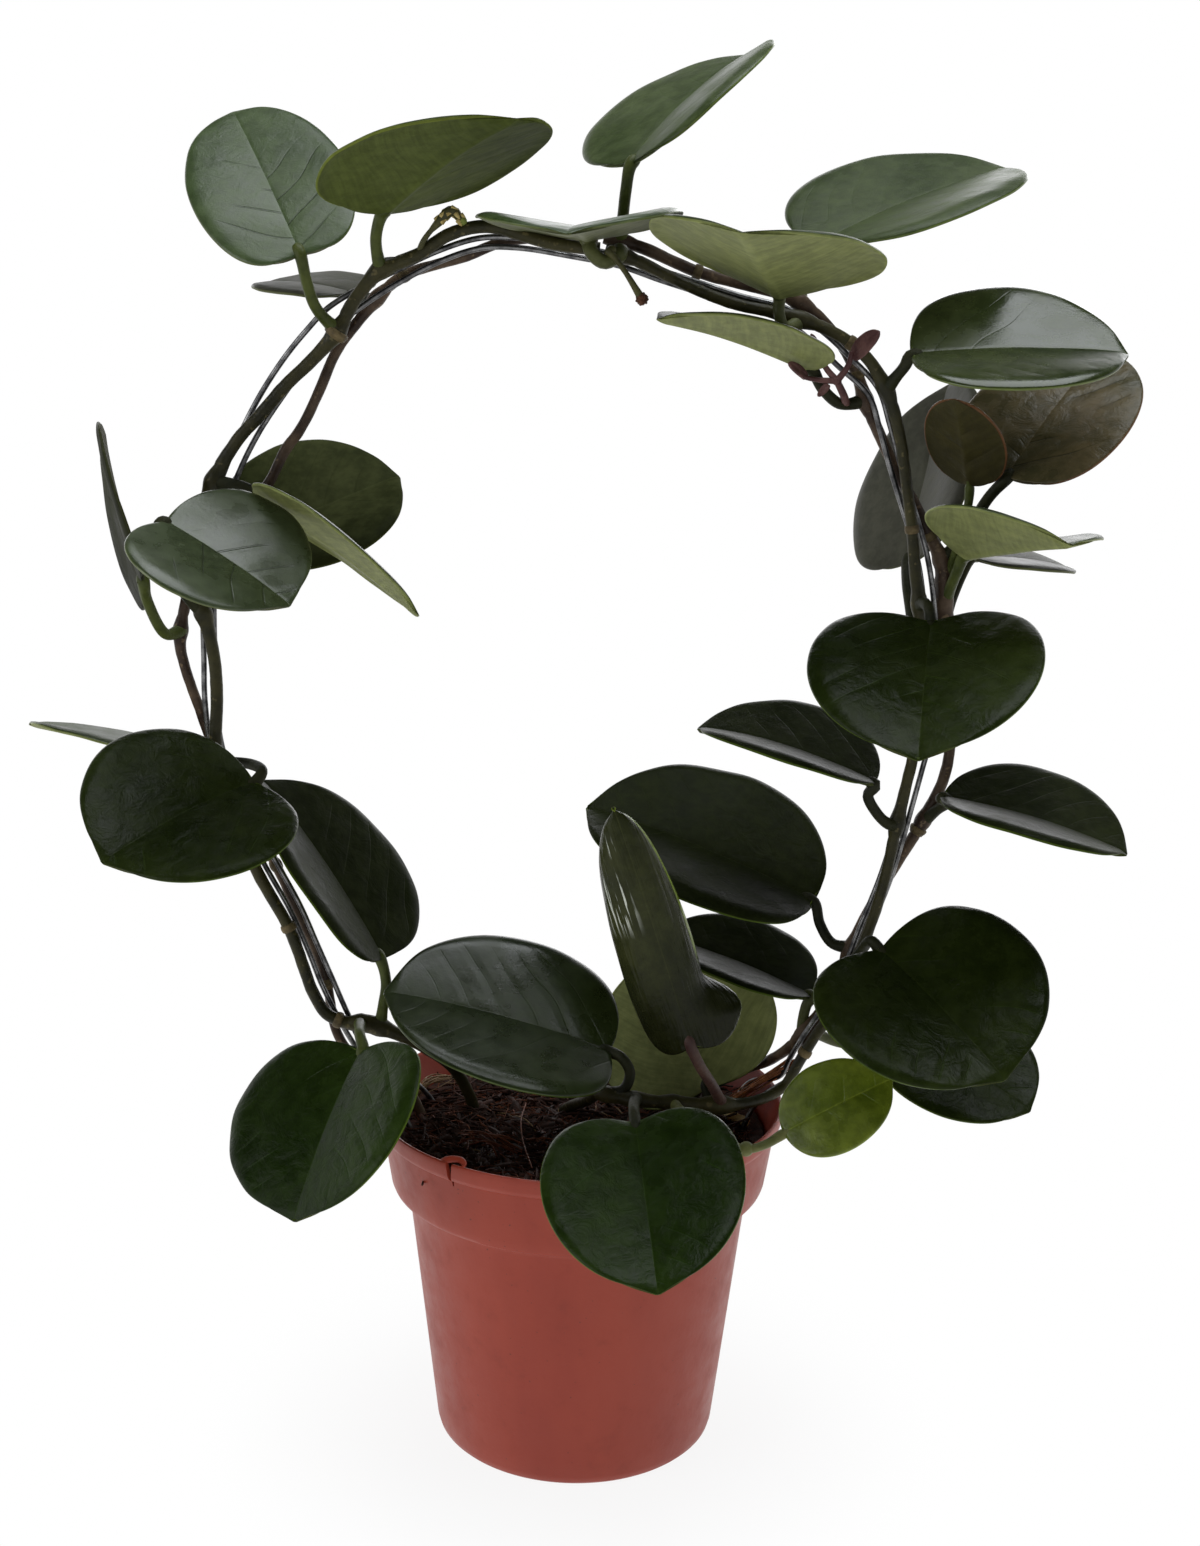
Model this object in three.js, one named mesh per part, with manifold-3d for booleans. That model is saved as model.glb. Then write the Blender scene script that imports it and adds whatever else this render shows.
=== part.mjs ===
// Potted hoya trained round a wire hoop. Millimetres, +Z up, origin at the centre of the pot's underside.
import * as THREE from 'three';
import { mergeVertices } from 'three/addons/utils/BufferGeometryUtils.js';
import Module from 'manifold-3d';

const wasm = await Module();
wasm.setup();

// Driving dimensions
const potHeight = 104;
const lipRadius = 60;
const lipBandHeight = 6;
const collarRadius = 55.5;
const collarHeight = 25;
const bodyTopRadius = 50.4;
const baseRadius = 41.8;
const baseCorner = 3;
const wall = 1.3;
const baseThickness = 1.8;
const drainHoles = 8;
const drainHoleRadius = 3.5;
const drainCircleRadius = 30;
const soilHeight = 95;
const stemRadius = 1.9;
const wireRadius = 0.8;
const petioleRadius = 1.6;
const leafThickness = 1.8;
const knuckleRadius = 2.2;
const stalkRadius = 0.9;
const stalkFootRadius = 1.2;
const knobRadius = 1.8;
const spurRadius = 1.4;
const stubRadius = 1.5;
const shootRadius = 0.9;
const gap = 0.3;

// Depths (world Y) of the strands of the hoop: one vine in front, the wires between, one vine behind
const front = -3.2;
const back = 3.2;

// The viewpoint that the picture coordinates belong to
const eye = new THREE.Vector3(4.5, -593, 356.5);
const eyePitch = THREE.MathUtils.degToRad(14.5);
const eyeRoll = THREE.MathUtils.degToRad(1);
const focalPixels = 2147;
const pictureCentre = [600, 773];

const rad = THREE.MathUtils.degToRad;

// Picture coordinates to millimetres

function pixelRay(x, y) {
  const dx = x - pictureCentre[0];
  const dy = y - pictureCentre[1];
  const u = (Math.cos(eyeRoll) * dx + Math.sin(eyeRoll) * dy) / focalPixels;
  const v = (Math.cos(eyeRoll) * dy - Math.sin(eyeRoll) * dx) / focalPixels;
  const down = Math.sin(eyePitch);
  const along = Math.cos(eyePitch);
  return new THREE.Vector3(u, along - v * down, -down - v * along);
}

// The point seen at a picture coordinate, at a given depth behind (+) or before (-) the pot's axis
function px(x, y, depth = 0) {
  const ray = pixelRay(x, y);
  return eye.clone().addScaledVector(ray, (depth - eye.y) / ray.y);
}

function mm(x, y, z) {
  return new THREE.Vector3(x, y, z);
}

// The point on a picture ray at a set distance from another point, on its near or its far side
function pixelAtDistance(x, y, from, distance, away) {
  const ray = pixelRay(x, y).normalize();
  const toFrom = from.clone().sub(eye);
  const along = toFrom.dot(ray);
  const offset = Math.sqrt(Math.max(toFrom.lengthSq() - along * along, 0));
  const half = Math.sqrt(Math.max(distance * distance - offset * offset, 0));
  return eye.clone().addScaledVector(ray, along + (away ? half : -half));
}

// Solids

function toSolid(geometry) {
  const bare = geometry.clone();
  bare.deleteAttribute('normal');
  bare.deleteAttribute('uv');
  const welded = mergeVertices(bare, 1e-4);
  return new wasm.Manifold(new wasm.Mesh({
    numProp: 3,
    vertProperties: new Float32Array(welded.attributes.position.array),
    triVerts: new Uint32Array(welded.index.array),
  }));
}

function toGeometry(solid) {
  const mesh = solid.getMesh();
  const geometry = new THREE.BufferGeometry();
  geometry.setAttribute('position', new THREE.BufferAttribute(mesh.vertProperties, 3));
  geometry.setIndex(new THREE.BufferAttribute(mesh.triVerts, 1));
  return geometry;
}

// The largest separate piece of a solid
function mainPiece(solid) {
  const pieces = solid.decompose();
  return pieces.reduce((best, piece) => (piece.volume() > best.volume() ? piece : best));
}

function ringShape(radius, sides) {
  const points = [];
  for (let i = 0; i < sides; i += 1) {
    const angle = (2 * Math.PI * i) / sides;
    points.push(new THREE.Vector2(radius * Math.cos(angle), radius * Math.sin(angle)));
  }
  return new THREE.Shape(points);
}

function tube(points, radius, sides, steps) {
  const extrudePath = new THREE.CatmullRomCurve3(points, false, 'centripetal');
  return new THREE.ExtrudeGeometry(ringShape(radius, sides), { steps, extrudePath, bevelEnabled: false });
}

function bead(centre, radius) {
  const geometry = new THREE.SphereGeometry(radius, 7, 5);
  geometry.translate(centre.x, centre.y, centre.z);
  return geometry;
}

function lathe(points, sides) {
  return new THREE.LatheGeometry(points, sides).rotateX(Math.PI / 2);
}

const nodes = [];

function addNode(name, solid, colour, roughness, metalness = 0) {
  const material = new THREE.MeshStandardMaterial({ color: colour, roughness, metalness });
  const mesh = new THREE.Mesh(toGeometry(solid), material);
  mesh.name = name;
  nodes.push(mesh);
}

// Pot

function potProfile() {
  const shoulder = potHeight - collarHeight;
  const path = new THREE.Path();
  path.moveTo(0, 0);
  path.lineTo(baseRadius - baseCorner, 0);
  path.quadraticCurveTo(baseRadius, 0, baseRadius + 0.2, baseCorner);
  path.lineTo(bodyTopRadius, shoulder - 2.5);
  path.quadraticCurveTo(bodyTopRadius + 0.4, shoulder, collarRadius - 1, shoulder + 0.6);
  path.lineTo(collarRadius, shoulder + 2);
  path.lineTo(lipRadius - 2, potHeight - lipBandHeight);
  path.lineTo(lipRadius - 0.5, potHeight - lipBandHeight + 0.8);
  path.lineTo(lipRadius, potHeight - 0.6);
  path.lineTo(lipRadius - 0.5, potHeight);
  path.lineTo(lipRadius - wall, potHeight);
  path.lineTo(lipRadius - 2 - wall, potHeight - lipBandHeight);
  path.lineTo(collarRadius - wall, shoulder + 2);
  path.lineTo(bodyTopRadius - wall, shoulder - 1.5);
  path.lineTo(baseRadius - wall, baseThickness);
  path.lineTo(0, baseThickness);
  return path.getPoints(2);
}

function potSolid() {
  let pot = toSolid(lathe(potProfile(), 36));
  for (let i = 0; i < drainHoles; i += 1) {
    const angle = (2 * Math.PI * (i + 0.5)) / drainHoles;
    const hole = new THREE.CylinderGeometry(drainHoleRadius, drainHoleRadius, 6, 8);
    hole.rotateX(Math.PI / 2);
    hole.translate(drainCircleRadius * Math.cos(angle), drainCircleRadius * Math.sin(angle), 1);
    pot = pot.subtract(toSolid(hole));
  }
  return pot.subtract(lipSplit());
}

// The short split in the lip, at the front left
const splitPlace = px(449, 1172, -41);
const splitReach = 6;
const splitWidth = 1.6;
const splitHeight = 8;

function lipSplit() {
  const at = splitPlace;
  const slot = new THREE.BoxGeometry(splitReach, splitWidth, splitHeight);
  slot.rotateZ(Math.atan2(at.y, at.x));
  slot.translate(at.x, at.y, potHeight);
  return toSolid(slot);
}

// Potting mix

function soilSolid(feet) {
  const clear = wall + gap + 0.1;
  const profile = [
    [0, baseThickness + gap],
    [baseRadius - clear, baseThickness + gap],
    [bodyTopRadius - clear, potHeight - collarHeight - 1.5],
    [collarRadius - clear - 0.2, potHeight - collarHeight + 2.2],
    [collarRadius - clear + 1.6, soilHeight - 2],
    [collarRadius - 8, soilHeight + 0.6],
    [collarRadius - 24, soilHeight - 0.6],
    [0, soilHeight + 0.8],
  ];
  let soil = toSolid(lathe(profile.map(([r, z]) => new THREE.Vector2(r, z)), 28));
  for (const foot of feet) {
    soil = soil.subtract(foot);
  }
  return soil;
}

// Hoop wires and vines

const outerWirePath = [
  mm(-36, -3, 45), mm(-50, -4, 95), px(352, 1041), px(337, 1015), px(322, 985), px(308, 950),
  px(290, 910), px(262, 860), px(232, 800), px(212, 750), px(205, 700), px(204, 660), px(203, 611),
  px(204, 560), px(213, 505), px(228, 462), px(243, 428), px(262, 392), px(285, 357), px(306, 331),
  px(328, 308), px(362, 287), px(397, 270), px(440, 250), px(480, 238), px(520, 238), px(570, 246),
  px(620, 256), px(660, 270), px(700, 283), px(740, 296), px(785, 308), px(818, 328), px(850, 357),
  px(878, 388), px(890, 425), px(898, 455), px(908, 490), px(918, 522), px(928, 560), px(934, 605),
  px(936, 680), px(931, 735), px(922, 770), px(912, 806), px(902, 842), px(890, 880), px(872, 925),
  px(850, 980), px(828, 1018), px(811, 1043), px(799, 1061), px(788, 1079), mm(55, 3, 104),
  mm(50, 4, 95), mm(38, 3, 45),
];

const innerWirePath = [
  mm(-33, 10, 45), mm(-44, 13, 95), px(363, 1044, 3), px(347, 1012), px(333, 980), px(318, 946),
  px(300, 905), px(273, 856), px(243, 800), px(223, 750), px(216, 700), px(215, 660), px(214, 611),
  px(215, 560), px(225, 510), px(240, 470), px(258, 434), px(280, 400), px(305, 366), px(333, 330),
  px(368, 302), px(402, 281), px(443, 260), px(482, 248), px(520, 248), px(570, 256), px(620, 266),
  px(660, 280), px(700, 293), px(738, 306), px(780, 319), px(808, 338), px(838, 366), px(869, 396),
  px(880, 430), px(888, 460), px(898, 494), px(908, 526), px(918, 562), px(924, 607), px(926, 680),
  px(921, 735), px(912, 768), px(902, 804), px(892, 840), px(880, 877), px(862, 922), px(840, 977),
  px(819, 1013), px(802, 1038), px(790, 1058, 2), px(780, 1076, 5), mm(51, 12, 104), mm(46, 12, 95),
  mm(35, 10, 45),
];

const leftFrontPath = [
  mm(-28, 12, 72), mm(-31, 11, 92), px(455, 1070, 4), px(425, 1048, -1), px(395, 1033, front),
  px(370, 1024, front), px(345, 1022, front), px(326, 1013, front), px(312, 990, front),
  px(303, 965, front), px(289, 928, front), px(256, 869, front), px(229, 800, front),
  px(216, 745, front), px(217, 700, front), px(214, 656, front), px(206, 622, front),
  px(197, 590, front), px(200, 540, front), px(212, 485, front), px(236, 442, front),
  px(259, 416, front), px(286, 385, front), px(310, 362, front), px(336, 333, front),
  px(356, 298, front), px(380, 270, front), px(400, 262, front), px(419, 254, front),
  px(448, 235, front), px(476, 227, front), px(500, 228, front), px(522, 235, front),
  px(550, 243, front), px(587, 248, front), px(600, 249, front),
];

const leftBackPath = [
  mm(-40, 4, 72), mm(-46, 5, 92), mm(-53, 5, 105), px(366, 1066, 4), px(346, 1048, back),
  px(336, 1030, back), px(327, 984, back), px(318, 955, back), px(302, 920, back), px(276, 865, back),
  px(238, 795, back), px(209, 735, back), px(199, 707, back), px(185, 667, back), px(180, 642, back),
  px(184, 610, back), px(197, 565, back), px(222, 527, back), px(250, 504, back), px(268, 484, back),
  px(286, 449, back), px(300, 430, back), px(318, 394, back), px(336, 352, back), px(356, 324, back),
  px(384, 291, back), px(405, 275, back), px(438, 264, back), px(467, 256, back), px(496, 244, back),
  px(522, 239, back), px(560, 237, back), px(598, 237, back),
];

const rightFrontPath = [
  px(605, 250, front), px(635, 260, front), px(668, 276, front), px(698, 290, front),
  px(735, 304, front), px(768, 311, front), px(796, 318, front), px(824, 328, front),
  px(851, 343, front), px(871, 363, front), px(888, 394, front), px(899, 432, front),
  px(906, 480, front), px(912, 529, front), px(915, 570, front), px(920, 611, front),
  px(921, 680, front), px(913, 756, front), px(905, 790, front), px(896, 828, front),
  px(888, 866, front), px(874, 915, front), px(853, 968, front), px(830, 1014, front),
  px(812, 1041, front), px(799, 1062, front), px(785, 1085, -3.5), px(766, 1097, -8),
  px(740, 1104, -13), px(700, 1104, -17), px(660, 1102, -19), px(625, 1098, -19), px(602, 1094, -15),
  px(588, 1100, -4), mm(-6, 12, 92), mm(-7, 14, 72),
];

const rightBackPath = [
  px(604, 237, back), px(640, 247, back), px(698, 272, back), px(742, 284, back), px(785, 295, back),
  px(813, 312, back), px(840, 342, back), px(857, 374, back), px(866, 403, back), px(882, 440, back),
  px(898, 474, back), px(914, 503, back), px(930, 536, back), px(943, 565, back), px(944, 604, back),
  px(948, 680, back), px(949, 754, back), px(943, 780, back), px(930, 808, back), px(917, 831, back),
  px(898, 861, back), px(875, 899, back), px(851, 947, back), px(835, 985, back), px(820, 1013, back),
  px(802, 1037, back), px(786, 1050, 7), px(768, 1061, 12), mm(51, 19, 106), mm(42, 25, 98),
  mm(35, 27, 72),
];

const wire = { radius: wireRadius, sides: 4, colour: 0xa9adb2, metal: 1 };
const stem = { radius: stemRadius, sides: 6, metal: 0 };
const strands = {
  hoop_wire_outer: { ...wire, path: outerWirePath, steps: 56 },
  hoop_wire_inner: { ...wire, path: innerWirePath, steps: 57 },
  vine_left_front: { ...stem, path: leftFrontPath, steps: 40, colour: 0x35301f },
  vine_left_back: { ...stem, path: leftBackPath, steps: 36, colour: 0x3d2f26 },
  vine_right_front: { ...stem, path: rightFrontPath, steps: 44, colour: 0x2c2b1c },
  vine_right_back: { ...stem, path: rightBackPath, steps: 36, colour: 0x4a382f },
};

function strandSolid({ path, radius, sides, steps }, grow) {
  return toSolid(tube(path, radius + grow, sides, steps));
}

// Everything that a petiole or a small part stops short of
function keepClear() {
  return wasm.Manifold.union(Object.values(strands).map((strand) => strandSolid(strand, gap)));
}

// Leaves

const outlineSteps = 7;
const tipLength = 0.03;
const tipSharpness = 0.13;
const bladeSkew = 0.08;
const rollPlaces = [0.05, 0.45];

// Where the midrib and the margin stand along the leaf, and how wide it is there, for a step from base to tip
function outlineAt(angle, leaf) {
  const along = (1 - Math.cos(angle)) / 2 + tipLength * Math.exp(-(Math.PI - angle) / tipSharpness);
  const lobe = leaf.lobe * Math.sin(angle) * ((1 + Math.cos(angle)) / 2) ** 3;
  return {
    midrib: along / (1 + tipLength),
    margin: (along - lobe) / (1 + tipLength),
    width: Math.sin(angle) ** 0.92 * (1 + bladeSkew * Math.cos(angle)),
  };
}

// A point of the blade: across runs from -1 to 1 between the margins, and each half rolls over between two places
function bladePoint(leaf, step, across, drop) {
  const side = Math.abs(across);
  const along = step.midrib + (step.margin - step.midrib) * side;
  const bend = leaf.arch / 2 - leaf.arch * along;
  const bendRadius = leaf.length / leaf.arch;
  const forward = bendRadius * (Math.sin(leaf.arch / 2) - Math.sin(bend));
  const rise = bendRadius * (Math.cos(bend) - Math.cos(leaf.arch / 2));
  const [rollStart, rollEnd] = (across < 0 ? leaf.leftRoll : leaf.rightRoll) ?? rollPlaces;
  const turn = leaf.fold + leaf.curl + leaf.roll * THREE.MathUtils.smoothstep(along, rollStart, rollEnd);
  const slope = leaf.fold - turn * side;
  const half = (step.width * leaf.width) / 2;
  const out = (half * (Math.sin(leaf.fold) - Math.sin(slope))) / turn + drop * Math.sin(slope);
  const up = (half * (Math.cos(slope) - Math.cos(leaf.fold))) / turn - drop * Math.cos(slope);
  const lift = leaf.axis.clone().multiplyScalar(-Math.sin(bend)).addScaledVector(leaf.face, Math.cos(bend));
  return leaf.base.clone()
    .addScaledVector(leaf.axis, forward)
    .addScaledVector(leaf.face, rise)
    .addScaledVector(leaf.cross, Math.sign(across) * out)
    .addScaledVector(lift, up);
}

function placeLeaf(row) {
  const leaf = { ...row };
  leaf.fold = rad(row.fold);
  leaf.curl = rad(row.curl);
  leaf.roll = rad(row.roll ?? 0);
  leaf.arch = rad(Math.max(row.arch, 0.5));
  leaf.base = px(...row.base);
  const chord = (row.length * Math.sin(leaf.arch / 2)) / (leaf.arch / 2);
  const tip = pixelAtDistance(row.tip[0], row.tip[1], leaf.base, chord, row.away);
  leaf.axis = tip.sub(leaf.base).normalize();
  leaf.face = new THREE.Vector3(...row.face);
  leaf.face.addScaledVector(leaf.axis, -leaf.face.dot(leaf.axis)).normalize();
  leaf.cross = leaf.axis.clone().cross(leaf.face);
  return leaf;
}

// A closed blade: rings of eight points, five on the upper face and three below, between two pointed ends
function bladeGeometry(leaf) {
  const rings = [];
  for (let i = 1; i < outlineSteps; i += 1) {
    const step = outlineAt((Math.PI * i) / outlineSteps, leaf);
    const ring = [];
    for (const across of [-1, -0.5, 0, 0.5, 1]) {
      ring.push(bladePoint(leaf, step, across, 0));
    }
    for (const across of [0.5, 0, -0.5]) {
      ring.push(bladePoint(leaf, step, across, leafThickness * (1 - 0.3 * Math.abs(across))));
    }
    rings.push(ring);
  }
  const points = rings.flat();
  const first = points.push(bladePoint(leaf, outlineAt(0, leaf), 0, leafThickness / 2)) - 1;
  const last = points.push(bladePoint(leaf, outlineAt(Math.PI, leaf), 0, leafThickness / 2)) - 1;
  const faces = [];
  const count = rings[0].length;
  for (let j = 0; j < count; j += 1) {
    const next = (j + 1) % count;
    faces.push(first, next, j);
    for (let i = 0; i < rings.length - 1; i += 1) {
      const low = i * count;
      const high = low + count;
      faces.push(low + j, low + next, high + next);
      faces.push(low + j, high + next, high + j);
    }
    const end = (rings.length - 1) * count;
    faces.push(last, end + j, end + next);
  }
  const geometry = new THREE.BufferGeometry().setFromPoints(points);
  geometry.setIndex(faces);
  return geometry;
}

// The petiole runs from a little way under the blade to the middle of its vine
function petioleGeometry(leaf, grow = 0) {
  const inside = bladePoint(leaf, outlineAt(0.5, leaf), 0, leafThickness * 0.8);
  const points = [inside, leaf.base.clone().addScaledVector(leaf.face, -0.8)];
  for (const point of leaf.petiole) {
    points.push(px(...point));
  }
  return tube(points, (leaf.petioleRadius ?? petioleRadius) + grow, 5, points.length);
}

function leafSolid(leaf, clear) {
  let solid = toSolid(bladeGeometry(leaf)).add(toSolid(petioleGeometry(leaf)));
  if (leaf.bead) {
    solid = solid.add(toSolid(bead(px(...leaf.bead), knuckleRadius)));
  }
  return mainPiece(solid.subtract(clear));
}

const darkLeaf = 0x1d2a17;
const paleLeaf = 0x56633a;
const greyLeaf = 0x333a34;
const brownLeaf = 0x3b2f26;
const youngLeaf = 0x4c6e16;

// Kinds of blade. fold: how far each half rises from the midrib; curl: how far its margin turns back down;
// roll: how much further it turns towards the tip; arch: how far the blade bends from base to tip, all in
// degrees; lobe: how far the base reaches back
const flatBlade = { fold: 9, curl: 5, arch: 15, lobe: 0.15 };
const heartBlade = { fold: 17, curl: 2, arch: 16, lobe: 0.2 };
const ovalBlade = { fold: 17, curl: 2, arch: 12, lobe: 0.05 };
const foldedBlade = { fold: 23, curl: 2, arch: 14, lobe: 0 };

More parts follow.
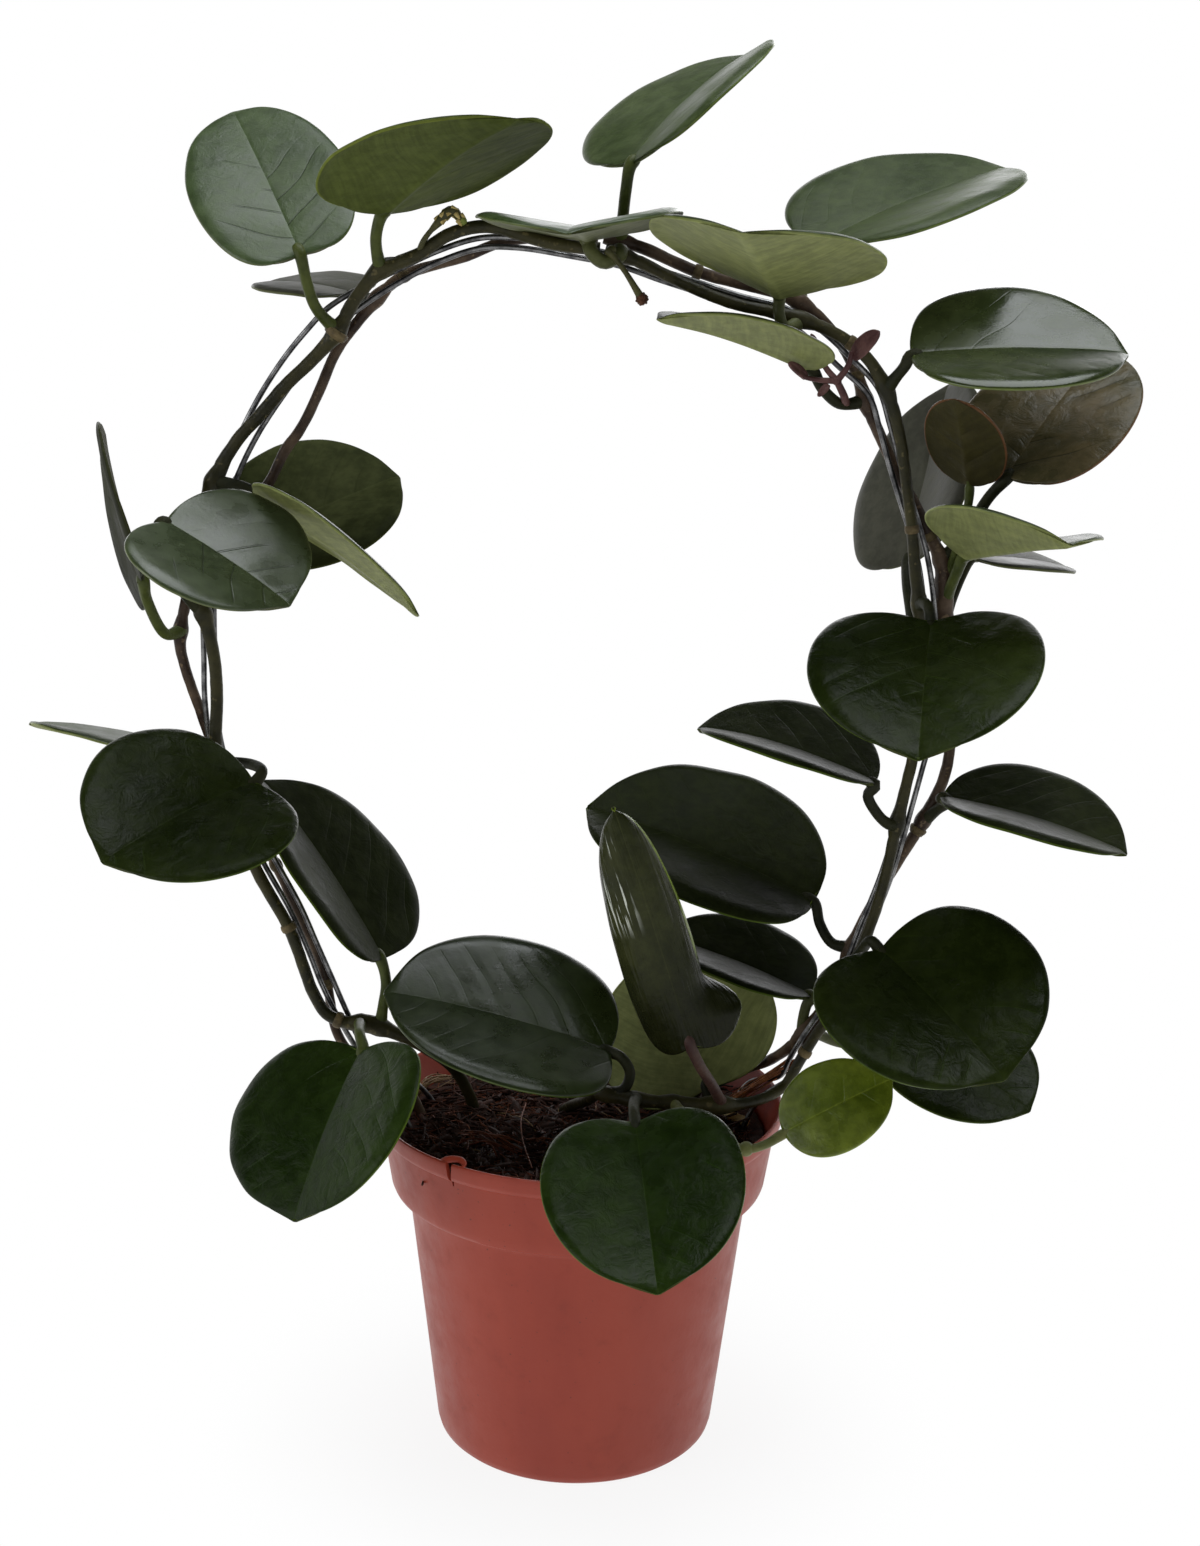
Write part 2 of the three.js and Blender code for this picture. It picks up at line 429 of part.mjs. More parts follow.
// base and petiole points: picture x, picture y, depth; tip: picture x, picture y; length and width in mm
const leaves = {
  leaf_top_left_upright: {
    ...flatBlade, base: [300, 253, -14], tip: [232, 109], away: true, length: 68, width: 44,
    face: [-0.1, -0.6, 0.8],
    colour: greyLeaf,
    petiole: [[306, 279, -11], [315, 306, -8], [327, 321, -5], [338, 330, front]],
  },
  leaf_top_left_level: {
    ...flatBlade, base: [381, 211, -6], tip: [515, 115], away: false, length: 58, width: 65,
    face: [-0.3, 0.3, 0.9],
    curl: 1, lobe: 0.08, colour: paleLeaf,
    petiole: [[376, 237, -6], [378, 258, -5], [382, 269, front]],
  },
  leaf_top_left_small: {
    ...flatBlade, base: [352, 292, 12], tip: [266, 281], away: true, length: 32, width: 36,
    face: [0, -0.15, 1],
    colour: greyLeaf,
    petiole: [[364, 298, 9], [376, 300, back]],
  },
  leaf_top_highest: {
    ...ovalBlade, base: [629, 162, -4], tip: [750, 51], away: true, length: 60, width: 58,
    face: [-0.5, -0.25, 0.85],
    arch: 18, lobe: 0.1, colour: darkLeaf,
    petiole: [[626, 190, -4], [623, 216, -1], [620, 241, back]],
  },
  leaf_top_edge_on: {
    ...foldedBlade, base: [588, 236, -5], tip: [567, 231], away: false, length: 62, width: 54,
    face: [-0.04, 0, 1],
    fold: 17, lobe: 0.25, colour: greyLeaf, petioleRadius: 2,
    petiole: [[592, 253, -8.5], [604, 262, -8], [617, 256, -6], [620, 252, front]],
  },
  leaf_top_forward: {
    ...foldedBlade, base: [780, 293, -8], tip: [742, 229], away: false, length: 66, width: 63,
    face: [0.15, 0.2, 1],
    arch: 3, colour: paleLeaf,
    petiole: [[779, 312, -9], [784, 327, -8], [800, 322, front]],
  },
  leaf_top_right: {
    ...ovalBlade, base: [812, 246, 12], tip: [1008, 166], away: true, length: 70, width: 68,
    face: [-0.2, -0.3, 0.95],
    lobe: 0, colour: darkLeaf,
    petiole: [[808, 262, 11], [802, 282, 7], [800, 303, back]],
  },
  leaf_right_inward: {
    ...foldedBlade, base: [813, 367, -3], tip: [657, 316], away: false, length: 48, width: 44,
    face: [0.25, 0.15, 0.95],
    lobe: 0.15, colour: paleLeaf,
    petiole: [[822, 388, -2], [838, 403, 0], [850, 404, 2], [865, 400, back]],
  },
  leaf_right_glossy: {
    ...ovalBlade, base: [911, 353, -10], tip: [1130, 352], away: true, length: 58, width: 60,
    face: [-0.05, -0.4, 0.9],
    colour: darkLeaf,
    petiole: [[905, 366, -9], [896, 377, -6], [887, 388, front]],
  },
  leaf_right_brown: {
    ...flatBlade, base: [1006, 476, -8], tip: [1102, 347], away: true, length: 56, width: 50,
    face: [-0.3, -0.5, 0.8],
    arch: 8, colour: brownLeaf,
    petiole: [[990, 496, -5], [966, 532, 2], [945, 558, back]],
  },
  leaf_right_brown_small: {
    ...flatBlade, base: [971, 484, -3], tip: [955, 397], away: false, length: 29, width: 25,
    face: [0.5, 0.65, 0.5],
    lobe: 0.05, colour: brownLeaf, petioleRadius: 1.2,
    petiole: [[968, 506, -3], [958, 545, -1], [946, 578, back]],
  },
  leaf_right_behind: {
    ...ovalBlade, base: [905, 562, 22], tip: [948, 382], away: true, length: 60, width: 56,
    face: [-0.8, -0.3, 0.5],
    arch: 3, lobe: 0.15, colour: greyLeaf,
    petiole: [[907, 582, 14], [910, 606, 7], [914, 634, 2], [917, 654, front]],
  },
  leaf_right_level: {
    ...foldedBlade, base: [964, 554, -3], tip: [1072, 543], away: false, length: 46, width: 52,
    face: [0.1, 0.3, 0.95],
    fold: 33, arch: 6, colour: paleLeaf,
    petiole: [[957, 572, -2], [945, 600, back]],
  },
  leaf_right_level_behind: {
    ...flatBlade, base: [972, 556, 14], tip: [1070, 567], away: true, length: 34, width: 34,
    face: [0, -0.1, 1],
    colour: greyLeaf, petioleRadius: 1.3,
    petiole: [[962, 576, 11], [946, 616, back]],
  },
  leaf_right_heart: {
    ...heartBlade, base: [931, 620, -12], tip: [918, 759], away: false, length: 60, width: 64,
    face: [-0.15, -0.4, 0.9],
    colour: darkLeaf,
    petiole: [[929, 609, -11], [924, 603, -7], [919, 606, front]],
  },
  leaf_inner_right_high: {
    ...foldedBlade, base: [876, 782, -8], tip: [697, 726], away: true, length: 54, width: 58,
    face: [0.2, -0.1, 0.95],
    arch: 22, colour: darkLeaf,
    petiole: [[868, 795, -7], [876, 812, -6], [887, 823, -5], [898, 825, front]],
  },
  leaf_outer_right_low: {
    ...foldedBlade, base: [942, 795, -6], tip: [1129, 853], away: false, length: 54, width: 58,
    face: [0.2, -0.15, 1],
    fold: 21, arch: 17, colour: darkLeaf,
    petiole: [[947, 803, -3], [938, 809, 0], [924, 820, back]],
  },
  leaf_inner_right_large: {
    ...foldedBlade, base: [815, 900, 8], tip: [586, 805], away: true, length: 74, width: 72,
    face: [0.2, -0.35, 0.9],
    lobe: 0.05, colour: darkLeaf,
    petiole: [[820, 924, 7], [832, 943, 5], [851, 948, back]],
  },
  leaf_inner_right_low: {
    ...foldedBlade, base: [813, 994, 4], tip: [658, 933], away: true, length: 50, width: 50,
    face: [0.3, -0.15, 0.95],
    arch: 10, colour: darkLeaf,
    petiole: [[807, 1004, 4], [803, 1020, 4], [803, 1036, back]],
  },
  leaf_right_low_large: {
    ...heartBlade, base: [880, 948, -16], tip: [1006, 1080], away: false, length: 54, width: 68,
    face: [0, -0.55, 0.8],
    lobe: 0.25, colour: darkLeaf,
    petiole: [[872, 941, -15], [862, 950, -9], [854, 964, front]],
  },
  leaf_right_low_behind: {
    ...flatBlade, base: [905, 1032, 8], tip: [1031, 1111], away: false, length: 45, width: 46,
    face: [0, -0.4, 0.9],
    colour: darkLeaf,
    petiole: [[875, 1046, 8], [838, 1042, 7], [810, 1030, back]],
  },
  leaf_young_bright: {
    ...flatBlade, base: [783, 1133, -43], tip: [893, 1078], away: false, length: 34, width: 27,
    face: [-0.25, -0.75, 0.6],
    lobe: 0, colour: youngLeaf, petioleRadius: 1.3, bead: [746, 1149, -47],
    petiole: [[764, 1145, -46], [746, 1149, -47], [715, 1138, -40], [690, 1118, -29], [672, 1102, -18.5]],
  },
  leaf_upright_curled: {
    ...flatBlade, base: [692, 1049, -33], tip: [613, 806], away: false, length: 74, width: 42,
    face: [0.1, -0.9, 0.3],
    roll: 120, leftRoll: [-0.9, 0.5], rightRoll: [0.08, 0.24], lobe: 0.2, colour: darkLeaf,
    petiole: [[700, 1066, -30], [712, 1085, -23], [722, 1104, -15]],
  },
  leaf_centre_behind: {
    ...flatBlade, base: [708, 1090, 8], tip: [656, 950], away: true, length: 50, width: 58,
    face: [0.2, 0.9, -0.4],
    arch: 4, colour: paleLeaf,
    petiole: [[712, 1102, 4], [716, 1106, -6], [714, 1104, -16]],
  },
  leaf_front_left: {
    ...ovalBlade, base: [611, 1050, -14], tip: [382, 990], away: true, length: 68, width: 62,
    face: [0.25, -0.4, 0.9],
    arch: 15, lobe: 0.15, colour: darkLeaf,
    petiole: [[622, 1058, -16], [630, 1073, -17], [624, 1089, -18], [606, 1094, -16]],
  },
  leaf_front_hanging: {
    ...heartBlade, base: [635, 1121, -45], tip: [658, 1294], away: false, length: 60, width: 56,
    face: [-0.1, -0.4, 0.9],
    colour: darkLeaf,
    petiole: [[634, 1112, -40], [634, 1104, -32], [636, 1099, -19.5]],
  },
  leaf_left_hanging: {
    ...heartBlade, base: [361, 1048, -26], tip: [293, 1222], away: false, length: 53, width: 68,
    face: [-0.55, -0.5, 0.7],
    colour: darkLeaf,
    petiole: [[360, 1036, -22], [360, 1027, -12], [360, 1023, front]],
  },
  leaf_inner_left: {
    ...foldedBlade, base: [383, 958, -5], tip: [262, 778], away: true, length: 64, width: 67,
    face: [0.8, -0.2, 0.6],
    lobe: 0.1, colour: darkLeaf,
    petiole: [[386, 982, -5], [383, 1006, -3], [380, 1027, front]],
  },
  leaf_left_large: {
    ...heartBlade, base: [255, 780, -18], tip: [101, 862], away: false, length: 51, width: 65,
    face: [0.1, -0.45, 0.9],
    arch: 19, lobe: 0.13, colour: darkLeaf,
    petiole: [[262, 772, -16], [250, 764, -9], [221, 762, front]],
  },
  leaf_left_behind: {
    ...flatBlade, base: [200, 762, 8], tip: [29, 721], away: true, length: 52, width: 48,
    face: [0.25, 0.2, 0.95],
    arch: 8, colour: paleLeaf,
    petiole: [[208, 768, 7], [219, 768, back]],
  },
  leaf_left_glossy: {
    ...heartBlade, base: [165, 520, -31], tip: [291, 605], away: false, length: 42, width: 54,
    face: [0.35, -0.45, 0.8],
    arch: 12, colour: greyLeaf,
    petiole: [[158, 528, -27], [166, 565, -15], [190, 600, -5], [203, 612, front]],
  },
  leaf_left_edge_on: {
    ...flatBlade, base: [140, 582, -12], tip: [99, 427], away: true, length: 48, width: 54,
    face: [-1, -0.1, 0.15],
    lobe: 0.3, colour: greyLeaf,
    petiole: [[147, 600, -8], [166, 634, -2], [182, 630, back]],
  },
  leaf_left_upper_behind: {
    ...heartBlade, base: [245, 540, 30], tip: [400, 475], away: true, length: 50, width: 62,
    face: [-0.2, -0.55, 0.8],
    arch: 5, lobe: 0.15, colour: darkLeaf,
    petiole: [[238, 536, 26], [236, 526, 16], [236, 515, back]],
  },
  leaf_left_inward: {
    ...flatBlade, base: [262, 498, -5], tip: [422, 614], away: false, length: 57, width: 44,
    face: [0.6, 0.3, 0.7],
    colour: paleLeaf,
    petiole: [[250, 490, -4], [232, 484, -5], [214, 482, front]],
  },
};

// Small parts

const stubPath = [px(726, 1114, 6), px(736, 1118, 8), px(748, 1123, 7)];
const stubHole = [px(724, 1113, 6), px(736, 1118, 8), px(750, 1124, 7)];

function smallParts(clear, hook) {
  const stalk = tube([px(607, 250, -9), px(614, 257, -9), px(624, 270, -9), px(642, 299, -9)], stalkRadius, 5, 5);
  const foot = tube([px(612, 250, -9), px(611, 250, -6), px(611, 251, front)], stalkFootRadius, 5, 3);
  const peduncle = toSolid(stalk).add(toSolid(foot)).add(toSolid(bead(px(642, 299, -9), knobRadius)));
  const spurPath = [
    px(418, 255, front), px(424, 240, -5), px(437, 224, -5), px(452, 211, -5), px(462, 221, -5),
  ];
  const spur = toSolid(tube(spurPath, spurRadius, 5, 6));
  const stub = toSolid(tube(stubPath, stubRadius, 6, 3));
  return {
    flower_stalk: { solid: peduncle.subtract(clear).subtract(hook), colour: 0x53602e },
    scaly_spur: { solid: spur.subtract(clear), colour: 0x8a7a4c },
    twig_stub: { solid: stub, colour: 0xc0a878 },
  };
}

function youngShoot(clear) {
  const crotch = [840, 386, -5];
  const branches = [
    [crotch, [820, 380, -6], [802, 376, -8], [790, 365, -9]],
    [crotch, [826, 368, -5], [818, 353, -4], [813, 337, -3]],
    [crotch, [848, 366, -6], [852, 352, -7]],
    [crotch, [844, 396, -3], [846, 404, 1]],
  ];
  let solid = toSolid(bead(px(...crotch), 1.5));
  for (const branch of branches) {
    solid = solid.add(toSolid(tube(branch.map((point) => px(...point)), shootRadius, 4, 3)));
  }
  const leaflet = placeLeaf({
    ...flatBlade, base: [852, 356, -7], tip: [879, 331], away: false, length: 12, width: 6,
    face: [-0.4, -0.8, 0.4],
  });
  return solid.add(toSolid(bladeGeometry(leaflet))).subtract(clear);
}

// Assembly

const clear = keepClear();
const hook = toSolid(petioleGeometry(placeLeaf(leaves.leaf_top_edge_on), gap));
const small = smallParts(clear, hook);
const feet = Object.values(strands).map((strand) => strandSolid(strand, gap));
feet.push(toSolid(tube(stubHole, stubRadius + gap, 6, 3)));

addNode('pot', potSolid(), 0x9a4632, 0.45);
addNode('coir_soil', soilSolid(feet), 0x2a1b14, 0.95);
for (const [name, strand] of Object.entries(strands)) {
  addNode(name, strandSolid(strand, 0), strand.colour, strand.metal ? 0.35 : 0.6, strand.metal);
}
const inwardLeaf = placeLeaf(leaves.leaf_right_inward);
const inwardPetiole = toSolid(petioleGeometry(inwardLeaf, gap));
addNode('young_shoot', mainPiece(youngShoot(clear.add(inwardPetiole))), 0x5a2a32, 0.6);
for (const [name, part] of Object.entries(small)) {
  addNode(name, mainPiece(part.solid), part.colour, 0.7);
}
for (const [name, row] of Object.entries(leaves)) {
  addNode(name, leafSolid(placeLeaf(row), clear), row.colour, 0.35);
}

const plant = new THREE.Group();
for (const node of nodes) {
  plant.add(node);
}

export default plant;
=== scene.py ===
import math

import bpy
import numpy as np
from mathutils import Matrix, Vector, noise


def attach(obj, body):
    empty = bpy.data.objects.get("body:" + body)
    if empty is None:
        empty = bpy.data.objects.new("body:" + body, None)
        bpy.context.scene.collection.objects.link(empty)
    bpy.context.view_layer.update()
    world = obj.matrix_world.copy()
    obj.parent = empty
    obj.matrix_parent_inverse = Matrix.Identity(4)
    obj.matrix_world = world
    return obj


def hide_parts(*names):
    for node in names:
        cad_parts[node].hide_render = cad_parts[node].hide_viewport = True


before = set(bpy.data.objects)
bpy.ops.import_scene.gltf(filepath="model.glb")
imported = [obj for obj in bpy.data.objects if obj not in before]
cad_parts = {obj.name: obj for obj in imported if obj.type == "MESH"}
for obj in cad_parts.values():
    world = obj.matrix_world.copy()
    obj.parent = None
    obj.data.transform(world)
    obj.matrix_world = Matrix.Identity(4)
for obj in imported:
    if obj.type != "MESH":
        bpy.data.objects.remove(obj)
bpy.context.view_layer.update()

mm = 0.001
sceneColl = bpy.context.scene.collection
print("frame loaded:", len(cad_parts), "nodes")

# The view that the picture coordinates belong to; lengths in mm, angles in degrees
photoView = {"eye": (4.5, -593, 356.5), "pitch": 14.5, "roll": 1, "focal": 2147, "centre": (600, 773),
             "size": (1200, 1546)}

# Depths of the hoop's strands: one vine in front, the wires between, one vine behind
front = -3.2
back = 3.2

# The pot's sizes, as the CAD has them
potSizes = {"height": 104, "lip": 60, "lipBand": 6, "collar": 55.5, "collarHeight": 25, "bodyTop": 50.4,
            "base": 41.8, "wall": 1.3, "floor": 1.8, "holes": 8, "holeRadius": 3.5, "holeCircle": 30, "soil": 95}


def pixelRay(x, y):
    roll, pitch = math.radians(photoView["roll"]), math.radians(photoView["pitch"])
    dx, dy = x - photoView["centre"][0], y - photoView["centre"][1]
    u = (math.cos(roll) * dx + math.sin(roll) * dy) / photoView["focal"]
    v = (math.cos(roll) * dy - math.sin(roll) * dx) / photoView["focal"]
    down, along = math.sin(pitch), math.cos(pitch)
    return np.array([u, along - v * down, -down - v * along])


def px(x, y, depth=0):
    # the point at picture x, y that lies at this depth
    eye, ray = np.array(photoView["eye"]), pixelRay(x, y)
    return eye + ray * (depth - eye[1]) / ray[1]


def pxAtHeight(x, y, height):
    eye, ray = np.array(photoView["eye"]), pixelRay(x, y)
    return eye + ray * (height - eye[2]) / ray[2]


def pixelAtDistance(x, y, start, distance, away):
    eye, ray = np.array(photoView["eye"]), pixelRay(x, y)
    ray = ray / np.linalg.norm(ray)
    toStart = start - eye
    along = toStart @ ray
    offset = math.sqrt(max(toStart @ toStart - along * along, 0))
    half = math.sqrt(max(distance * distance - offset * offset, 0))
    return eye + ray * (along + (half if away else -half))


def unit(v):
    return v / np.linalg.norm(v)


def ramp(x, a, b):
    t = np.clip((np.asarray(x, float) - a) / (b - a), 0, 1)
    return t * t * (3 - 2 * t)


def smoothPath(points, spacing):
    # centripetal Catmull-Rom through the points, resampled at even steps; also the distance run at each
    p = np.array([np.array(q, float) for q in points])
    p = np.vstack([2 * p[0] - p[1], p, 2 * p[-1] - p[-2]])
    dense = []
    for a, b, c, d in zip(p[:-3], p[1:-2], p[2:-1], p[3:]):
        ta, tb, tc = (max(np.linalg.norm(e), 1e-4) ** 0.5 for e in (b - a, c - b, d - c))
        m = ((b - a) / ta - (c - a) / (ta + tb) + (c - b) / tb) * tb
        n = ((c - b) / tb - (d - b) / (tb + tc) + (d - c) / tc) * tb
        t = np.linspace(0, 1, 24, endpoint=False)[:, None]
        dense.append(b + m * t + (3 * (c - b) - 2 * m - n) * t ** 2 + (2 * (b - c) + m + n) * t ** 3)
    dense = np.vstack(dense + [p[-2][None]])
    run = np.concatenate([[0], np.cumsum(np.linalg.norm(np.diff(dense, axis=0), axis=1))])
    count = max(3, int(round(run[-1] / spacing)) + 1)
    even = np.linspace(0, run[-1], count)
    return np.stack([np.interp(even, run, dense[:, i]) for i in range(3)], 1), even


def outward(points, faces):
    # signed volume, to see which way the faces look
    total = 0
    for face in faces:
        a = points[face[0]]
        for i in range(1, len(face) - 1):
            total += a @ np.cross(points[face[i]], points[face[i + 1]])
    return total > 0


def faceOut(points, faces):
    return faces if outward(points, faces) else [tuple(reversed(f)) for f in faces]


def meshPiece(name, points, faces, materials, slots=None, facts=None, smooth=True):
    mesh = bpy.data.meshes.new(name)
    mesh.from_pydata((np.asarray(points, float) * mm).tolist(), [], faces)
    for material in materials:
        mesh.materials.append(material)
    if slots is not None:
        mesh.polygons.foreach_set("material_index", np.asarray(slots, np.int32))
    for key, values in (facts or {}).items():
        mesh.attributes.new(key, "FLOAT", "POINT").data.foreach_set("value", np.asarray(values, np.float32))
    mesh.polygons.foreach_set("use_smooth", [smooth] * len(mesh.polygons))
    mesh.validate()
    mesh.update()
    piece = bpy.data.objects.new(name, mesh)
    sceneColl.objects.link(piece)
    return piece


def finishPiece(piece, slot, *nodes):
    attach(piece, "root")
    if nodes:
        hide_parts(*nodes)
    return piece


def sweep(path, radii, sides, flat=(1, 1)):
    # a closed tube with rounded ends along a path; flat scales its width and its thickness
    path = np.asarray(path, float)
    tangent = np.gradient(path, axis=0)
    tangent /= np.linalg.norm(tangent, axis=1)[:, None]
    side = unit(np.cross(tangent[0], (0.31, 0.2, 0.93)))
    rings = []
    angle = np.linspace(0, 2 * math.pi, sides, endpoint=False)
    for centre, along, radius in zip(path, tangent, radii):
        side = unit(side - along * (side @ along))
        other = np.cross(along, side)
        ring = flat[0] * np.cos(angle)[:, None] * side + flat[1] * np.sin(angle)[:, None] * other
        rings.append(centre + radius * ring)
    points = [rings[0].mean(0) - tangent[0] * radii[0] * 0.5]
    for ring in rings:
        points.extend(ring)
    points.append(rings[-1].mean(0) + tangent[-1] * radii[-1] * 0.5)
    faces = []
    for j in range(sides):
        k = (j + 1) % sides
        faces.append((0, 1 + k, 1 + j))
        for i in range(len(rings) - 1):
            a, b = 1 + i * sides, 1 + (i + 1) * sides
            faces.append((a + j, a + k, b + k, b + j))
        a = 1 + (len(rings) - 1) * sides
        faces.append((len(points) - 1, a + j, a + k))
    return np.array(points), faces


# A shell is its points, its faces, its facts (attributes) and its material's place in the piece's list
shellLook = {"tubeSpacing": 0.6, "ballSteps": 9, "ballEnd": 0.97}


def tubeShell(points, radii, sides, slot=0):
    path, run = smoothPath(points, shellLook["tubeSpacing"])
    radii = np.interp(run / run[-1], np.linspace(0, 1, len(radii)), radii)
    return *sweep(path, radii, sides), {}, slot


def ballShell(centre, radius, slot=0, sides=12):
    steps = np.linspace(-shellLook["ballEnd"], shellLook["ballEnd"], shellLook["ballSteps"])
    path = np.array([centre + np.array([0, 0, s * radius]) for s in steps])
    return *sweep(path, radius * np.sqrt(1 - steps ** 2), sides), {}, slot


def shellPiece(name, shells, materials, slot, *nodes):
    # joins the shells into one finished piece
    points, faces, slots, facts = [], [], [], {}
    keys = {key for shell in shells for key in shell[2]}
    total = 0
    for shellPoints, shellFaces, shellFacts, shellSlot in shells:
        points.append(shellPoints)
        faces.extend([tuple(v + total for v in f) for f in faceOut(shellPoints, shellFaces)])
        slots.extend([shellSlot] * len(shellFaces))
        for key in keys:
            facts.setdefault(key, []).append(np.asarray(shellFacts.get(key, np.zeros(len(shellPoints)))))
        total += len(shellPoints)
    facts = {key: np.concatenate(value) for key, value in facts.items()}
    return finishPiece(meshPiece(name, np.vstack(points), faces, materials, slots, facts), slot, *nodes)


class Nodes:
    def __init__(self, tree):
        self.tree = tree

    def add(self, kind, sockets=None, **settings):
        node = self.tree.nodes.new(kind)
        for key, value in settings.items():
            setattr(node, key, value)
        for key, value in (sockets or {}).items():
            self.plug(node.inputs[key], value)
        return node

    def plug(self, socket, value):
        if isinstance(value, bpy.types.NodeSocket):
            self.tree.links.new(value, socket)
        elif isinstance(value, bpy.types.Node):
            self.tree.links.new(value.outputs[0], socket)
        else:
            socket.default_value = value

    def math(self, operation, *values):
        return self.add("ShaderNodeMath", dict(enumerate(values)), operation=operation).outputs[0]

    def times(self, a, b):
        return self.math("MULTIPLY", a, b)

    def plus(self, a, b):
        return self.math("ADD", a, b)

    def minus(self, a, b):
        return self.math("SUBTRACT", a, b)

    def attribute(self, name):
        return self.add("ShaderNodeAttribute", attribute_name=name).outputs["Fac"]

    def noise(self, vector, scale, detail=3, roughness=0.5, distortion=0):
        sockets = {"Vector": vector, "Scale": scale, "Detail": detail, "Roughness": roughness,
                   "Distortion": distortion}
        return self.add("ShaderNodeTexNoise", sockets).outputs["Fac"]

    def ramp(self, value, low, high, start=0, end=1):
        sockets = {"Value": value, "From Min": low, "From Max": high, "To Min": start, "To Max": end}
        return self.add("ShaderNodeMapRange", sockets, interpolation_type="SMOOTHSTEP").outputs[0]

    def band(self, value, edges):
        # 1 between the middle two edges, and 0 outside the outer two
        return self.times(self.ramp(value, *edges[:2]), self.ramp(value, *edges[2:], 1, 0))

    def mix(self, factor, a, b):
        node = self.add("ShaderNodeMix", data_type="RGBA")
        self.plug(node.inputs[0], factor)
        for socket, value in ((node.inputs[6], a), (node.inputs[7], b)):
            self.plug(socket, (*value, 1) if isinstance(value, tuple) and len(value) == 3 else value)
        return node.outputs[2]

    def dim(self, colour, value):
        return self.add("ShaderNodeHueSaturation", {"Value": value, "Color": colour})

    def stretched(self, vector, scale):
        return self.add("ShaderNodeMapping", {"Vector": vector, "Scale": scale}).outputs[0]

    def pair(self, a, scaleA, b, scaleB):
        return self.add("ShaderNodeCombineXYZ", {0: self.times(a, scaleA), 1: self.times(b, scaleB)})

    def finish(self, shader, colour, rough, height, strength, depth):
        bump = self.add("ShaderNodeBump", {"Strength": strength, "Distance": depth, "Height": height})
        for key, value in (("Base Color", colour), ("Roughness", rough), ("Normal", bump)):
            self.plug(shader.inputs[key], value)


def newMaterial(name, **constants):
    material = bpy.data.materials.new(name)
    material.use_nodes = True
    nodes = Nodes(material.node_tree)
    shader = material.node_tree.nodes["Principled BSDF"]
    for key, value in constants.items():
        shader.inputs[key].default_value = value
    where = nodes.add("ShaderNodeTexCoord").outputs["Object"]
    return material, nodes, shader, where


def srgb(r, g, b):
    return tuple((c / 255 / 12.92) if c <= 10 else ((c / 255 + 0.055) / 1.055) ** 2.4 for c in (r, g, b))


def shade(colour, factor):
    return tuple(factor * c for c in srgb(*colour))


